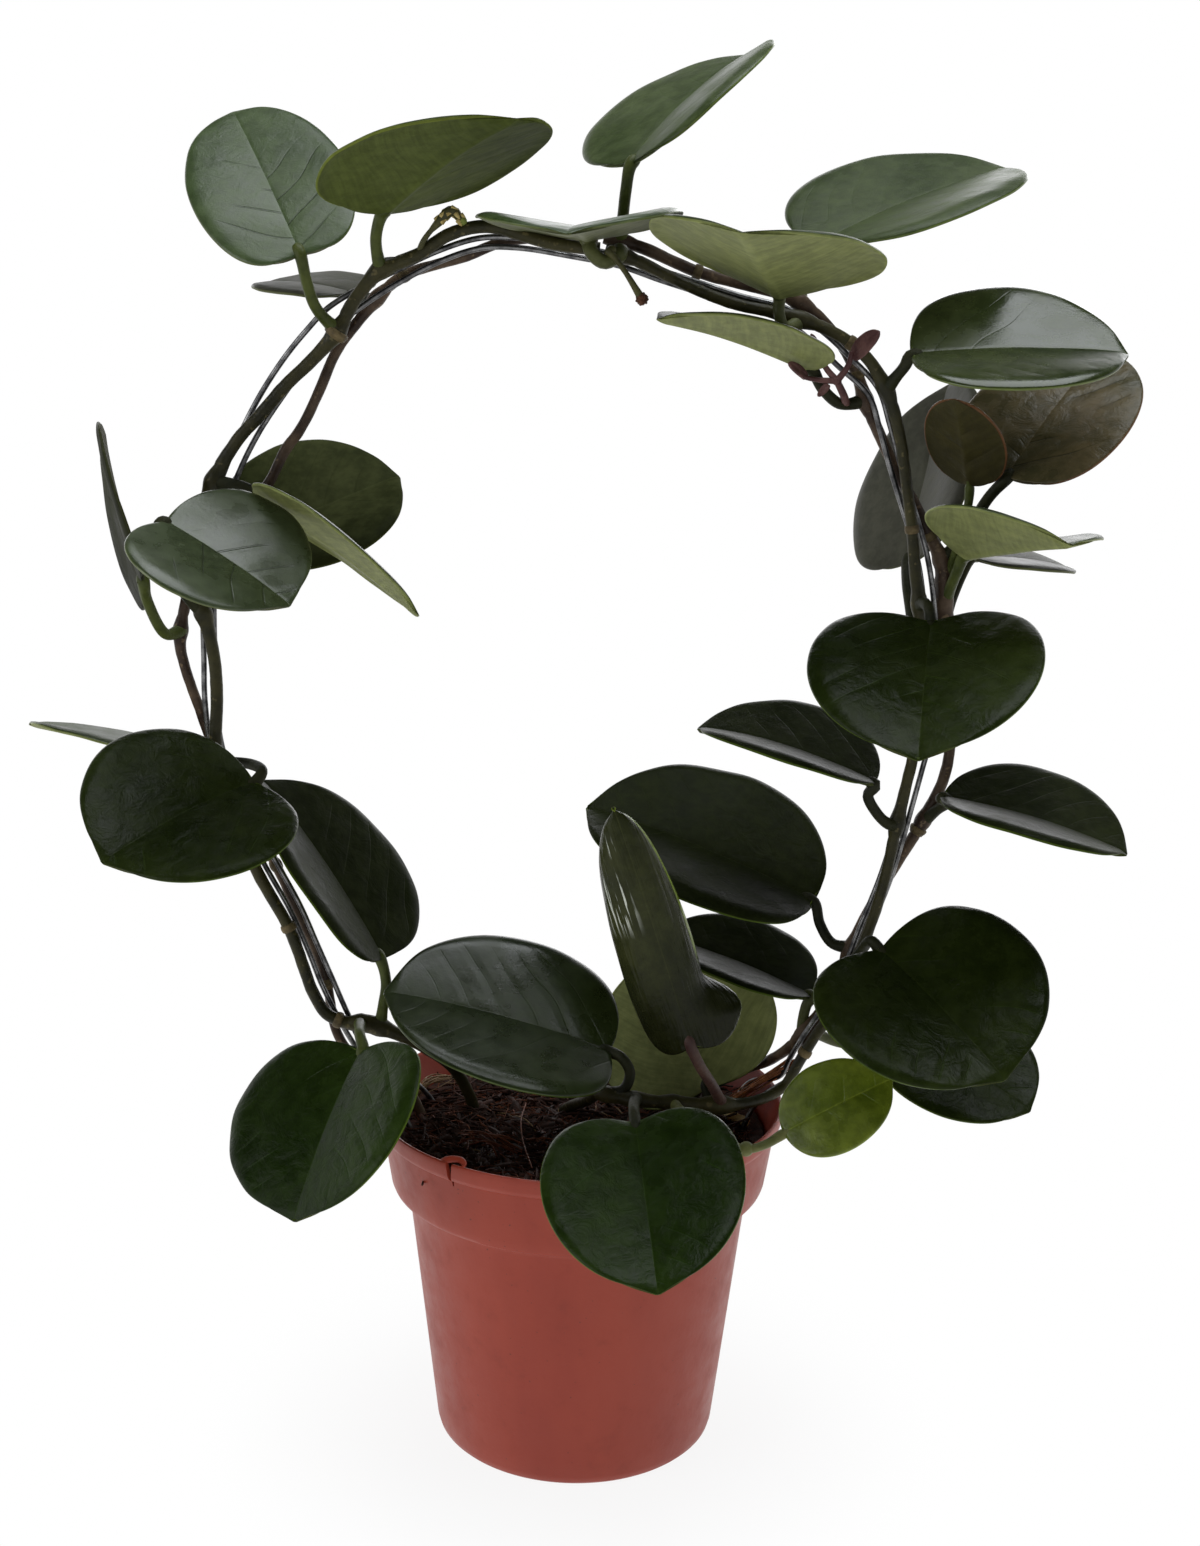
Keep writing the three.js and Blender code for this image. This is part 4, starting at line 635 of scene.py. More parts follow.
def bladeMesh(leaf, seed, rings=leafShape["rings"]):
    angles = np.linspace(0, math.pi, rings + 2)[1:-1]
    angles = np.concatenate([[0.02], angles, [math.pi - 0.02]])
    angle, across = np.meshgrid(angles, acrossSteps, indexing="ij")
    surface, run, rib, rim = bladeSurface(leaf, angle, across)
    normal = np.cross(np.gradient(surface, axis=1), np.gradient(surface, axis=0))
    normal /= np.maximum(np.linalg.norm(normal, axis=2), 1e-9)[..., None]
    if (normal[rings // 2, len(acrossSteps) // 2] @ leaf["face"]) < 0:
        normal = -normal
    scale = leaf["length"] / 60
    # softly uneven blade, stronger towards the margin
    wave = leafShape["wave"] * scale * softNoise(surface, leafShape["waveSize"] * scale, seed)
    ruffle = leafShape["ruffle"] * scale * softNoise(surface, leafShape["ruffleSize"] * scale, seed + 5)
    surface = surface + normal * (wave + ruffle * np.abs(across) ** 3)[..., None]
    # thickness: less towards the margin, and rounded off there and at both ends
    size = leafShape["thickness"] * min(1, 0.4 + 0.6 * scale)
    ends = np.minimum(1, np.sqrt(np.clip(np.minimum(angle, math.pi - angle) / leafShape["endRound"], 0.02, 1)))
    ease = np.clip(rim / leafShape["edgeRound"], 0, 1)
    thick = size - (size - leafShape["rimThickness"]) * np.abs(across) ** 2
    thick = thick * np.sqrt(np.clip(1 - (1 - ease) ** 2, 0, 1)) * ends
    groove = leafShape["groove"] * np.exp(-(rib / leafShape["grooveWidth"]) ** 2) * ramp(run, 0, 5)
    keel = leafShape["keel"] * np.exp(-(rib / leafShape["keelWidth"]) ** 2) * (1 - run / leaf["length"]) * ends
    middle = surface - normal * (size / 2)
    top = middle + normal * (thick / 2 - groove * ends)[..., None]
    bottom = middle - normal * (thick / 2 + keel)[..., None]
    rows, cols = angle.shape
    points = np.concatenate([top.reshape(-1, 3), bottom[:, 1:-1].reshape(-1, 3)])

    def above(i, j):
        return i * cols + j

    def below(i, j):
        return above(i, j) if j in (0, cols - 1) else rows * cols + i * (cols - 2) + j - 1

    faces = []
    for i in range(rows - 1):
        for j in range(cols - 1):
            faces.append((above(i, j), above(i, j + 1), above(i + 1, j + 1), above(i + 1, j)))
            faces.append((below(i + 1, j), below(i + 1, j + 1), below(i, j + 1), below(i, j)))
    faces.append([above(0, j) for j in range(cols)][::-1] + [below(0, j) for j in range(1, cols - 1)])
    faces.append([above(rows - 1, j) for j in range(cols)] + [below(rows - 1, j) for j in range(cols - 2, 0, -1)])
    facts = {}
    for key, value in (("rib", rib), ("run", run), ("rim", rim)):
        facts[key] = np.concatenate([value.ravel(), value[:, 1:-1].ravel()])
    edge = np.abs(across) == 1
    facts["under"] = np.concatenate([np.where(edge, 0.5, 0).ravel(), np.ones((rows, cols - 2)).ravel()])
    return points, faces, facts


def petioleShell(leaf):
    shape = petioleShape
    inside = bladeSurface(leaf, np.array(0.55), np.array(0.0))[0] - leaf["face"] * leafShape["thickness"] * 0.75
    points = [inside, leaf["base"] - leaf["face"] * 0.9] + [px(*p) for p in leaf["petiole"]]
    path, run = smoothPath(points, shape["spacing"])
    # slim at the middle, thicker at the joint with the blade and at the foot
    (topRise, topAt, topSpread), (footRise, footSpread) = shape["top"], shape["foot"]
    swell = 1 + topRise * np.exp(-((run - topAt) / topSpread) ** 2)
    swell = swell + footRise * np.exp(-((run[-1] - run) / footSpread) ** 2)
    radii = leaf.get("radius", shape["radius"]) * shape["slim"] * swell * (0.45 + 0.55 * ramp(run, 0, 2.5))
    return *sweep(path, radii, shape["sides"]), {}, 1


def knuckleShell(leaf):
    # the small knuckle on top, where the petiole meets the midrib
    centre = leaf["base"] + leaf["axis"] * 0.8 - leaf["face"] * 0.3
    path = smoothPath([centre - leaf["axis"] * 1.6, centre, centre + leaf["axis"] * 2.2], 0.5)[0]
    return *sweep(path, petioleShape["knuckle"][:len(path)], petioleShape["knuckleSides"]), {}, 1


def beadShell(place):
    path = smoothPath([px(*place) + (-2, 0, -0.5), px(*place), px(*place) + (2, 0, 0.5)], 0.5)[0]
    radii = petioleShape["bead"] * np.sqrt(1 - np.linspace(-0.95, 0.95, 9) ** 2)
    return *sweep(path, radii, petioleShape["sides"]), {}, 1


for seed, (name, row) in enumerate(leaves.items()):
    leaf = placeLeaf(row)
    shells = [(*bladeMesh(leaf, seed + 1), 0), petioleShell(leaf), knuckleShell(leaf)]
    if "bead" in row:
        shells.append(beadShell(row["bead"]))
    look = leafFinishes[row["finish"]]
    skins = [leafSkin(name, look), petioleSkins[row.get("stalk", "dark")]]
    shellPiece(name + "_blade", shells, skins, look["slot"], name)
print("leaves grown:", len(leaves))


def socketId(tree, label):
    return next(s.identifier for s in tree.interface.items_tree if s.name == label)


def newTree(name, inputs):
    tree = bpy.data.node_groups.new(name, "GeometryNodeTree")
    for label, kind in {"Geometry": "Geometry", **inputs}.items():
        tree.interface.new_socket(label, in_out="INPUT", socket_type="NodeSocket" + kind)
    tree.interface.new_socket("Geometry", in_out="OUTPUT", socket_type="NodeSocketGeometry")
    nodes = Nodes(tree)
    return tree, nodes, nodes.add("NodeGroupInput").outputs


def endTree(nodes, geometry, skin):
    real = nodes.add("GeometryNodeRealizeInstances", {"Geometry": geometry})
    done = nodes.add("GeometryNodeSetMaterial", {"Geometry": real, "Material": skin})
    nodes.add("NodeGroupOutput", {0: done})


def tubeNode(nodes, curve, sides, radius):
    ring = nodes.add("GeometryNodeCurvePrimitiveCircle", {"Resolution": sides, "Radius": radius})
    sockets = {"Curve": curve, "Profile Curve": ring.outputs["Curve"], "Fill Caps": True}
    return nodes.add("GeometryNodeCurveToMesh", sockets)


def stemTree():
    # sweeps a curve with its own radius, then lifts the bark a little
    tree, nodes, given = newTree("stemSweep", {"Sides": "Int", "Stem Radius": "Float", "Bark Height": "Float",
                                               "Bark Scale": "Float", "Skin": "Material"})
    tube = tubeNode(nodes, given["Geometry"], given["Sides"], given["Stem Radius"])
    if "Scale" in tube.inputs:
        nodes.plug(tube.inputs["Scale"], nodes.add("GeometryNodeInputRadius"))
    bark = nodes.noise(nodes.add("GeometryNodeInputPosition"), given["Bark Scale"])
    lift = nodes.times(nodes.minus(bark, 0.5), given["Bark Height"])
    offset = nodes.add("ShaderNodeVectorMath", {0: nodes.add("GeometryNodeInputNormal")}, operation="SCALE")
    nodes.plug(offset.inputs["Scale"], lift)
    moved = nodes.add("GeometryNodeSetPosition", {"Geometry": tube, "Offset": offset})
    endTree(nodes, nodes.add("GeometryNodeSetShadeSmooth", {"Geometry": moved}), given["Skin"])
    return tree


def bakePiece(name, source, tree, values):
    # gives the object its modifier, sets the inputs by identifier, and keeps only the mesh that comes out
    modifier = source.modifiers.new(tree.name, "NODES")
    modifier.node_group = tree
    for label, value in values.items():
        modifier[socketId(tree, label)] = value
    graph = bpy.context.evaluated_depsgraph_get()
    mesh = bpy.data.meshes.new_from_object(source.evaluated_get(graph), depsgraph=graph)
    mesh.name = name
    source.modifiers.remove(modifier)
    bpy.data.objects.remove(source)
    piece = bpy.data.objects.new(name, mesh)
    sceneColl.objects.link(piece)
    return piece


def curveObject(name, path, radii):
    data = bpy.data.curves.new(name, "CURVE")
    data.dimensions = "3D"
    spline = data.splines.new("POLY")
    spline.points.add(len(path) - 1)
    spline.points.foreach_set("co", np.column_stack([path * mm, np.ones(len(path))]).astype(np.float32).ravel())
    spline.points.foreach_set("radius", np.asarray(radii, np.float32))
    source = bpy.data.objects.new(name + "Path", data)
    sceneColl.objects.link(source)
    return source


wireLook = {"low": (66, 66, 67), "high": (128, 128, 128), "rough": (0.42, 0.25), "patch": 260, "pits": 1800}


def wireSkin():
    material, nodes, shader, where = newMaterial("galvanisedWire", Metallic=1.0, IOR=1.5)
    patch = nodes.noise(where, wireLook["patch"], 4, 0.6)
    colour = nodes.mix(nodes.ramp(patch, 0.3, 0.7), srgb(*wireLook["low"]), srgb(*wireLook["high"]))
    rough = nodes.ramp(patch, 0.3, 0.7, *wireLook["rough"])
    nodes.finish(shader, colour, rough, nodes.noise(where, wireLook["pits"], 2), 0.3, 0.2 * mm)
    return material


strandSkins = {
    "green": stemSkin("vineBarkGreen", (30, 30, 15), (58, 55, 30), 0.42, 90, (92, 84, 54)),
    "brown": stemSkin("vineBarkBrown", (46, 34, 26), (92, 76, 60), 0.42, 90, (120, 102, 78)),
    "wire": wireSkin(),
}
strandLook = {"spacing": 1.1, "barkScale": 260.0, "swell": 0.42, "swellReach": 2.6, "taper": 0.16,
              "taperReach": 7, "crease": 0.12, "creaseAt": 4.2, "creaseReach": 0.6, "footNear": 2.5}

# Wires and vines from foot to foot, in mm. start and end: points inside the mix and the pot; seen: picture x,
# picture y and, where it isn't the strand's own, depth; knots: old nodes, picture x and y
strands = {
    "hoop_wire_outer": dict(radius=0.8, sides=12, bark=0.05, skin="wire", slot="wire", depth=0,
        start=[(-36, -3, 45), (-50, -4, 95)], end=[(55, 3, 104), (50, 4, 95), (38, 3, 45)],
        seen=[(352, 1041), (337, 1015), (322, 985), (308, 950), (290, 910), (262, 860), (232, 800), (212, 750),
              (205, 700), (204, 660), (203, 611), (204, 560), (213, 505), (228, 462), (243, 428), (262, 392),
              (285, 357), (306, 331), (328, 308), (362, 287), (397, 270), (440, 250), (480, 238), (520, 238),
              (570, 246), (620, 256), (660, 270), (700, 283), (740, 296), (785, 308), (818, 328), (850, 357),
              (878, 388), (890, 425), (898, 455), (908, 490), (918, 522), (928, 560), (934, 605), (936, 680),
              (931, 735), (922, 770), (912, 806), (902, 842), (890, 880), (872, 925), (850, 980), (828, 1018),
              (811, 1043), (799, 1061), (788, 1079)]),
    "hoop_wire_inner": dict(radius=0.8, sides=12, bark=0.05, skin="wire", slot="wire", depth=0,
        start=[(-33, 10, 45), (-44, 13, 95)], end=[(51, 12, 104), (46, 12, 95), (35, 10, 45)],
        seen=[(363, 1044, 3), (347, 1012), (333, 980), (318, 946), (300, 905), (273, 856), (243, 800),
              (223, 750), (216, 700), (215, 660), (214, 611), (215, 560), (225, 510), (240, 470), (258, 434),
              (280, 400), (305, 366), (333, 330), (368, 302), (402, 281), (443, 260), (482, 248), (520, 248),
              (570, 256), (620, 266), (660, 280), (700, 293), (738, 306), (780, 319), (808, 338), (838, 366),
              (869, 396), (880, 430), (888, 460), (898, 494), (908, 526), (918, 562), (924, 607), (926, 680),
              (921, 735), (912, 768), (902, 804), (892, 840), (880, 877), (862, 922), (840, 977), (819, 1013),
              (802, 1038), (790, 1058, 2), (780, 1076, 5)]),
    "vine_left_front": dict(radius=1.75, sides=18, bark=0.4, skin="green", slot="vine_bark", depth=front,
        start=[(-28, 12, 72), (-31, 11, 92)], end=[],
        knots=[(336, 333), (337, 1022), (289, 928), (200, 540)],
        seen=[(455, 1070, 4), (425, 1048, -1), (395, 1033), (370, 1024), (345, 1022), (326, 1013), (312, 990),
              (303, 965), (289, 928), (256, 869), (229, 800), (216, 745), (217, 700), (214, 656), (206, 622),
              (197, 590), (200, 540), (212, 485), (236, 442), (259, 416), (286, 385), (310, 362), (336, 333),
              (356, 298), (380, 270), (400, 262), (419, 254), (448, 235), (476, 227), (500, 228), (522, 235),
              (550, 243), (587, 248), (600, 249)]),
    "vine_left_back": dict(radius=1.45, sides=18, bark=0.4, skin="brown", slot="vine_bark", depth=back,
        start=[(-40, 4, 72), (-46, 5, 92), (-53, 5, 105)], end=[],
        knots=[(405, 275), (327, 984), (276, 865)],
        seen=[(366, 1066, 4), (346, 1048), (336, 1030), (327, 984), (318, 955), (302, 920), (276, 865),
              (238, 795), (209, 735), (199, 707), (185, 667), (180, 642), (184, 610), (197, 565), (222, 527),
              (250, 504), (268, 484), (286, 449), (300, 430), (318, 394), (336, 352), (356, 324), (384, 291),
              (405, 275), (438, 264), (467, 256), (496, 244), (522, 239), (560, 237), (598, 237)]),
    "vine_right_front": dict(radius=1.6, sides=18, bark=0.4, skin="green", slot="vine_bark", depth=front,
        start=[], end=[(-6, 12, 92), (-7, 14, 72)],
        knots=[(805, 1052), (851, 343), (912, 529)],
        seen=[(605, 250), (635, 260), (668, 276), (698, 290), (735, 304), (768, 311), (796, 318), (824, 328),
              (851, 343), (871, 363), (888, 394), (899, 432), (906, 480), (912, 529), (915, 570), (920, 611),
              (921, 680), (913, 756), (905, 790), (896, 828), (888, 866), (874, 915), (853, 968), (830, 1014),
              (812, 1041), (799, 1062), (785, 1085, -3.5), (766, 1097, -8), (740, 1104, -13), (700, 1104, -17),
              (660, 1102, -19), (625, 1098, -19), (602, 1094, -15), (588, 1100, -4)]),
    "vine_right_back": dict(radius=1.6, sides=18, bark=0.4, skin="brown", slot="vine_bark", depth=back,
        start=[], end=[(51, 19, 106), (42, 25, 98), (35, 27, 72)],
        knots=[(698, 272), (857, 374), (930, 536), (917, 831)],
        seen=[(604, 237), (640, 247), (698, 272), (742, 284), (785, 295), (813, 312), (840, 342), (857, 374),
              (866, 403), (882, 440), (898, 474), (914, 503), (930, 536), (943, 565), (944, 604), (948, 680),
              (949, 754), (943, 780), (930, 808), (917, 831), (898, 861), (875, 899), (851, 947), (835, 985),
              (820, 1013), (802, 1037), (786, 1050, 7), (768, 1061, 12)]),
}


def strandPath(strand, spacing):
    seen = [px(*p, *([strand["depth"]] if len(p) == 2 else [])) for p in strand["seen"]]
    return smoothPath(strand["start"] + seen + strand["end"], spacing)


def nodeSwell(path, run):
    # the vine thickens where a petiole leaves it
    look = strandLook
    radii = np.ones(len(path))
    for row in leaves.values():
        gap = np.linalg.norm(path - px(*row["petiole"][-1]), axis=1)
        if gap.min() < look["footNear"]:
            past = run - run[gap.argmin()]
            radii += look["swell"] * np.exp(-(past / look["swellReach"]) ** 2)
            radii += look["taper"] * np.exp(-(past / look["taperReach"]) ** 2)
            radii -= look["crease"] * np.exp(-((past - look["creaseAt"]) / look["creaseReach"]) ** 2)
    return radii


strandSweep = stemTree()
for name, strand in strands.items():
    path, run = strandPath(strand, strandLook["spacing"])
    radii = np.ones(len(path)) if strand["slot"] == "wire" else nodeSwell(path, run)
    values = {"Sides": strand["sides"], "Stem Radius": strand["radius"] * mm, "Bark Height": strand["bark"] * mm,
              "Bark Scale": strandLook["barkScale"], "Skin": strandSkins[strand["skin"]]}
    stem = bakePiece(name + "_stem", curveObject(name, path, radii), strandSweep, values)
    finishPiece(stem, strand["slot"], name)
print("vines and wires wound:", len(strands))

knotLook = {"reach": 1.5, "lift": 1.1, "crown": 1.32, "sides": 16, "spacing": 0.5}
scarSkin = stemSkin("nodeScar", (70, 60, 40), (112, 98, 68), 0.55, 300)

# The pale ring that an old leaf leaves round the vine
for name, strand in strands.items():
    if "knots" not in strand:
        continue
    path, run = strandPath(strand, knotLook["spacing"])
    swollen = nodeSwell(path, run) * strand["radius"]
    shells = []
    for place in strand["knots"]:
        middle = run[np.linalg.norm(path - px(*place, strand["depth"]), axis=1).argmin()]
        near = np.abs(run - middle) <= knotLook["reach"]
        crown = 1 - ((run[near] - middle) / knotLook["reach"]) ** 2
        radii = swollen[near] * (knotLook["lift"] + (knotLook["crown"] - knotLook["lift"]) * crown)
        shells.append((*sweep(path[near], radii, knotLook["sides"]), {}, 0))
    shellPiece(name + "_knots", shells, [scarSkin], "vine_bark")
print("old nodes made")

potLook = {"colour": (140, 50, 33), "warm": (152, 58, 38), "dull": (118, 46, 34), "speck": (60, 34, 28), "sides": 144,
           "gloss": 0.36, "glossRange": 0.14, "cloud": 28, "rub": 130, "grit": 900, "moulding": 60, "pitting": 700,
           "wobble": (0.35, 0.12), "splitAngle": 234, "splitFoot": 96.5, "splitTop": 106,
           "splitWidths": (0.2, 1.3), "splitReach": (6, 3), "sharpAngle": 38, "holeSides": 20}

# The curled flake by the split: degrees round the lip, mm inward and mm over the lip
flakeSpine = [(230, 0.9, -0.9), (232, 1.0, 0.1), (234, 1.6, 0.8), (236.5, 2.2, 0.9), (238.5, 1.2, 0.3),
              (237.6, 0.4, -0.2)]
flakeRadii = {0: 0.5, 0.2: 0.9, 0.8: 0.8, 1: 0.3}


def potMaterial():
    material, nodes, shader, where = newMaterial("terracottaPlastic", IOR=1.38)
    cloud = nodes.noise(nodes.stretched(where, (1, 1, 0.35)), potLook["cloud"], 4, 0.6)
    colour = nodes.mix(nodes.ramp(cloud, 0.3, 0.7), srgb(*potLook["colour"]), srgb(*potLook["warm"]))
    rub = nodes.noise(where, potLook["rub"], 5, 0.65)
    colour = nodes.mix(nodes.times(nodes.ramp(rub, 0.52, 0.75), 0.35), colour, srgb(*potLook["dull"]))
    speck = nodes.ramp(nodes.noise(where, potLook["grit"], 1), 0.74, 0.8)
    colour = nodes.mix(nodes.times(speck, 0.6), colour, srgb(*potLook["speck"]))
    rough = nodes.ramp(rub, 0.3, 0.7, potLook["gloss"], potLook["gloss"] + potLook["glossRange"])
    moulded = nodes.noise(nodes.stretched(where, (1, 1, 0.2)), potLook["moulding"], 3)
    height = nodes.plus(nodes.times(nodes.noise(where, potLook["pitting"], 3), 0.5), moulded)
    nodes.finish(shader, colour, rough, height, 0.16, 0.6 * mm)
    return material


def potProfile():
    # radius and height, outside from the base's centre up, over the lip, and down inside
    p = potSizes
    base, body, collar, lip, wall = p["base"], p["bodyTop"], p["collar"], p["lip"], p["wall"]
    shoulder, top, bottom = p["height"] - p["collarHeight"], p["height"] - p["lipBand"], p["floor"]
    line = [(0, 0.9), (20, 0.9), (24, 0.5), (27, 0), (base - 3, 0), (base - 1.2, 0.3), (base - 0.3, 1.2),
            (base + 0.2, 3)]
    for t in np.linspace(0.08, 1, 14):
        line.append((base + 0.2 + (body - base - 0.2) * t, 3 + (shoulder - 5.5) * t))
    line += [(body + 0.3, shoulder - 1.4), (body + 1.3, shoulder - 0.4), (collar - 1.2, shoulder + 0.4),
             (collar - 0.4, shoulder + 0.9), (collar, shoulder + 2)]
    for t in np.linspace(0.15, 1, 8):
        line.append((collar + (lip - 2 - collar) * t, shoulder + 2 + (top - shoulder - 2) * t))
    line += [(lip - 1.4, top + 0.3), (lip - 0.7, top + 0.9), (lip - 0.35, top + 2), (lip - 0.1, top + 4.2)]
    line += [(lip - inward, p["height"] - down)
             for inward, down in ((0, 0.9), (0.15, 0.3), (0.55, 0), (1.0, 0.15), (wall, 0.6))]
    line += [(lip - wall - 0.4, top + 2), (lip - 2 - wall, top), (collar - wall, shoulder + 2),
             (body - wall, shoulder - 1.5), (base - wall, bottom + 1), (base - wall - 1, bottom + 0.9),
             (0, bottom + 0.9)]
    return line


def potWobble(angle, radius, height):
    # thin moulded plastic is never quite round, least of all at the lip
    lean = float(ramp(height, 60, 104))
    return lean * (potLook["wobble"][0] * math.sin(2 * angle + 0.7) + potLook["wobble"][1] * math.sin(5 * angle + 2))


def lathe(profile, sides, wobble=None):
    points, faces, rings = [], [], []
    for r, z in profile:
        if r < 1e-6:
            rings.append([len(points)])
            points.append((0, 0, z))
            continue
        rings.append(list(range(len(points), len(points) + sides)))
        for j in range(sides):
            a = 2 * math.pi * j / sides
            rr = r + (wobble(a, r, z) if wobble else 0)
            points.append((rr * math.cos(a), rr * math.sin(a), z))
    for low, high in zip(rings[:-1], rings[1:]):
        for j in range(sides):
            k = (j + 1) % sides
            if len(low) == 1:
                faces.append((low[0], high[j], high[k]))
            elif len(high) == 1:
                faces.append((low[j], high[0], low[k]))
            else:
                faces.append((low[j], high[j], high[k], low[k]))
    points = np.array(points)
    return points, faceOut(points, faces)


def onLip(degrees, inward, height):
    turn = math.radians(degrees)
    radius = potSizes["lip"] - inward
    return np.array([radius * math.cos(turn), radius * math.sin(turn), height])


def splitWedge():
    # a narrow wedge through the lip, wider at the top
    turn = math.radians(potLook["splitAngle"])
    sideways = np.array([-math.sin(turn), math.cos(turn), 0])
    (slim, wide), (inside, outside) = potLook["splitWidths"], potLook["splitReach"]
    low, high = potLook["splitFoot"], potLook["splitTop"]
    points = [onLip(potLook["splitAngle"], inward, z) + sideways * width for inward in (inside, -outside)
              for width, z in ((-slim, low), (slim, low), (wide, high), (-wide, high))]
    faces = [(0, 1, 2, 3), (7, 6, 5, 4), (0, 4, 5, 1), (1, 5, 6, 2), (2, 6, 7, 3), (3, 7, 4, 0)]
    return np.array(points), faceOut(np.array(points), faces)


def potPiece(skin):
    piece = meshPiece("pot_shell", *lathe(potProfile(), potLook["sides"], potWobble), [skin])
    hole, holeFaces = lathe([(0, -2), (potSizes["holeRadius"], -2), (potSizes["holeRadius"], 5), (0, 5)],
                            potLook["holeSides"])
    cuts = []
    for i in range(potSizes["holes"]):
        a = 2 * math.pi * (i + 0.5) / potSizes["holes"]
        x, y = potSizes["holeCircle"] * math.cos(a), potSizes["holeCircle"] * math.sin(a)
        cuts.append((hole + (x, y, 0), holeFaces))
    cuts.append(splitWedge())
    points, faces = [], []
    for cutPoints, cutFaces in cuts:
        faces.extend([tuple(v + len(points) for v in f) for f in cutFaces])
        points.extend(cutPoints.tolist())
    cutter = meshPiece("potCutter", points, faces, [skin], smooth=False)
    modifier = piece.modifiers.new("cut", "BOOLEAN")
    modifier.operation, modifier.solver, modifier.object = "DIFFERENCE", "EXACT", cutter
    graph = bpy.context.evaluated_depsgraph_get()
    mesh = bpy.data.meshes.new_from_object(piece.evaluated_get(graph), depsgraph=graph)
    piece.modifiers.remove(modifier)
    whole = piece.data
    piece.data = mesh
    bpy.data.meshes.remove(whole)
    bpy.data.objects.remove(cutter)
    mesh.polygons.foreach_set("use_smooth", [True] * len(mesh.polygons))
    mesh.set_sharp_from_angle(angle=math.radians(potLook["sharpAngle"]))
    return finishPiece(piece, "pot_plastic", "pot")


def lipFlake(skin):
    # a sliver of the lip that has come loose at the split and curls over it
    spine = [onLip(degrees, inward, potSizes["height"] + rise) for degrees, inward, rise in flakeSpine]
    path, run = smoothPath(spine, 0.4)
    radii = np.interp(run / run[-1], list(flakeRadii), list(flakeRadii.values()))
    shellPiece("pot_lip_flake", [(*sweep(path, radii, 12, (0.45, 1.1)), {}, 0)], [skin], "pot_plastic")


potSkin = potMaterial()
potPiece(potSkin)
lipFlake(potSkin)
print("pot turned")

coirLook = {"dark": (36, 18, 13), "mid": (70, 36, 24), "dentAt": (48, 4), "dentDepth": 4, "dentWidth": 6,
            "cell": 4.0, "lift": 0.3, "sides": 128, "rings": 46, "lump": (1.6, 9), "swell": (1.2, 21),
            "edge": (46, 54), "sunk": 0.8, "grain": 420, "patch": 90}


def coirMaterial(name, low, mid, high, rough=0.9):
    material, nodes, shader, where = newMaterial(name, IOR=1.4)
    grain = nodes.noise(where, coirLook["grain"], 6, 0.7)
    patch = nodes.noise(where, coirLook["patch"], 4, 0.6)
    colour = nodes.mix(nodes.ramp(grain, 0.35, 0.65), srgb(*low), srgb(*mid))
    colour = nodes.mix(nodes.times(nodes.ramp(patch, 0.5, 0.75), 0.7), colour, srgb(*high))
    nodes.finish(shader, colour, nodes.ramp(patch, 0.3, 0.7, rough - 0.2, rough), grain, 0.8, mm)
    return material


coirDark = coirMaterial("dampCoir", coirLook["dark"], coirLook["mid"], (50, 34, 26))
coirFibre = coirMaterial("coirFibre", (84, 42, 24), (126, 66, 36), (160, 96, 54), 0.75)
coirOrange = coirMaterial("coirOrange", (110, 62, 30), (158, 96, 52), (190, 130, 80), 0.7)
coirPale = coirMaterial("coirPale", (110, 84, 58), (150, 120, 86), (176, 146, 108), 0.75)


def soilTop(x, y):
    (lumpHeight, lumpSize), (swellHeight, swellSize) = coirLook["lump"], coirLook["swell"]
    lump = lumpHeight * noise.fractal(Vector((x / lumpSize, y / lumpSize, 3.7)), 0.9, 2.1, 4)
    swell = swellHeight * noise.noise(Vector((x / swellSize, y / swellSize, 8.2)))
    edge = 1 - float(ramp(math.hypot(x, y), *coirLook["edge"]))
    fromDent = math.dist((x, y), coirLook["dentAt"]) / coirLook["dentWidth"]
    dent = coirLook["dentDepth"] * math.exp(-fromDent ** 2)
    return potSizes["soil"] - coirLook["sunk"] + edge * (lump + swell) - dent


def coirPiece():
    p = potSizes
    shoulder = p["height"] - p["collarHeight"]
    profile = [(0, p["floor"] + 1.2), (p["base"] - 1.7, p["floor"] + 1.2), (p["bodyTop"] - 1.7, shoulder - 1.5),
               (p["collar"] - 1.9, shoulder + 2.2), (p["collar"] - 0.2, p["soil"] - 2)]
    profile += [(r, p["soil"]) for r in np.linspace(p["collar"] - 0.5, 0, coirLook["rings"])]
    points, faces = lathe(profile, coirLook["sides"])
    top = points[:, 2] > p["soil"] - 0.5
    points[top, 2] = [soilTop(x, y) for x, y in points[top, :2]]
    return finishPiece(meshPiece("coir_soil_bed", points, faces, [coirDark]), "coir", "coir_soil")


# How the four kinds of loose fibre bend: sideways and up
fibreBends = ((0.5, 0.2), (-0.25, 0.45), (0.1, 0.75), (-0.7, 0.3))
fibreTurn = {"Min": (-0.35, -0.35, 0), "Max": (0.35, 0.35, 6.283)}
fibreGrowth = {"Min": (0.45, 0.6, 0.4), "Max": (1.5, 1.4, 1.6)}


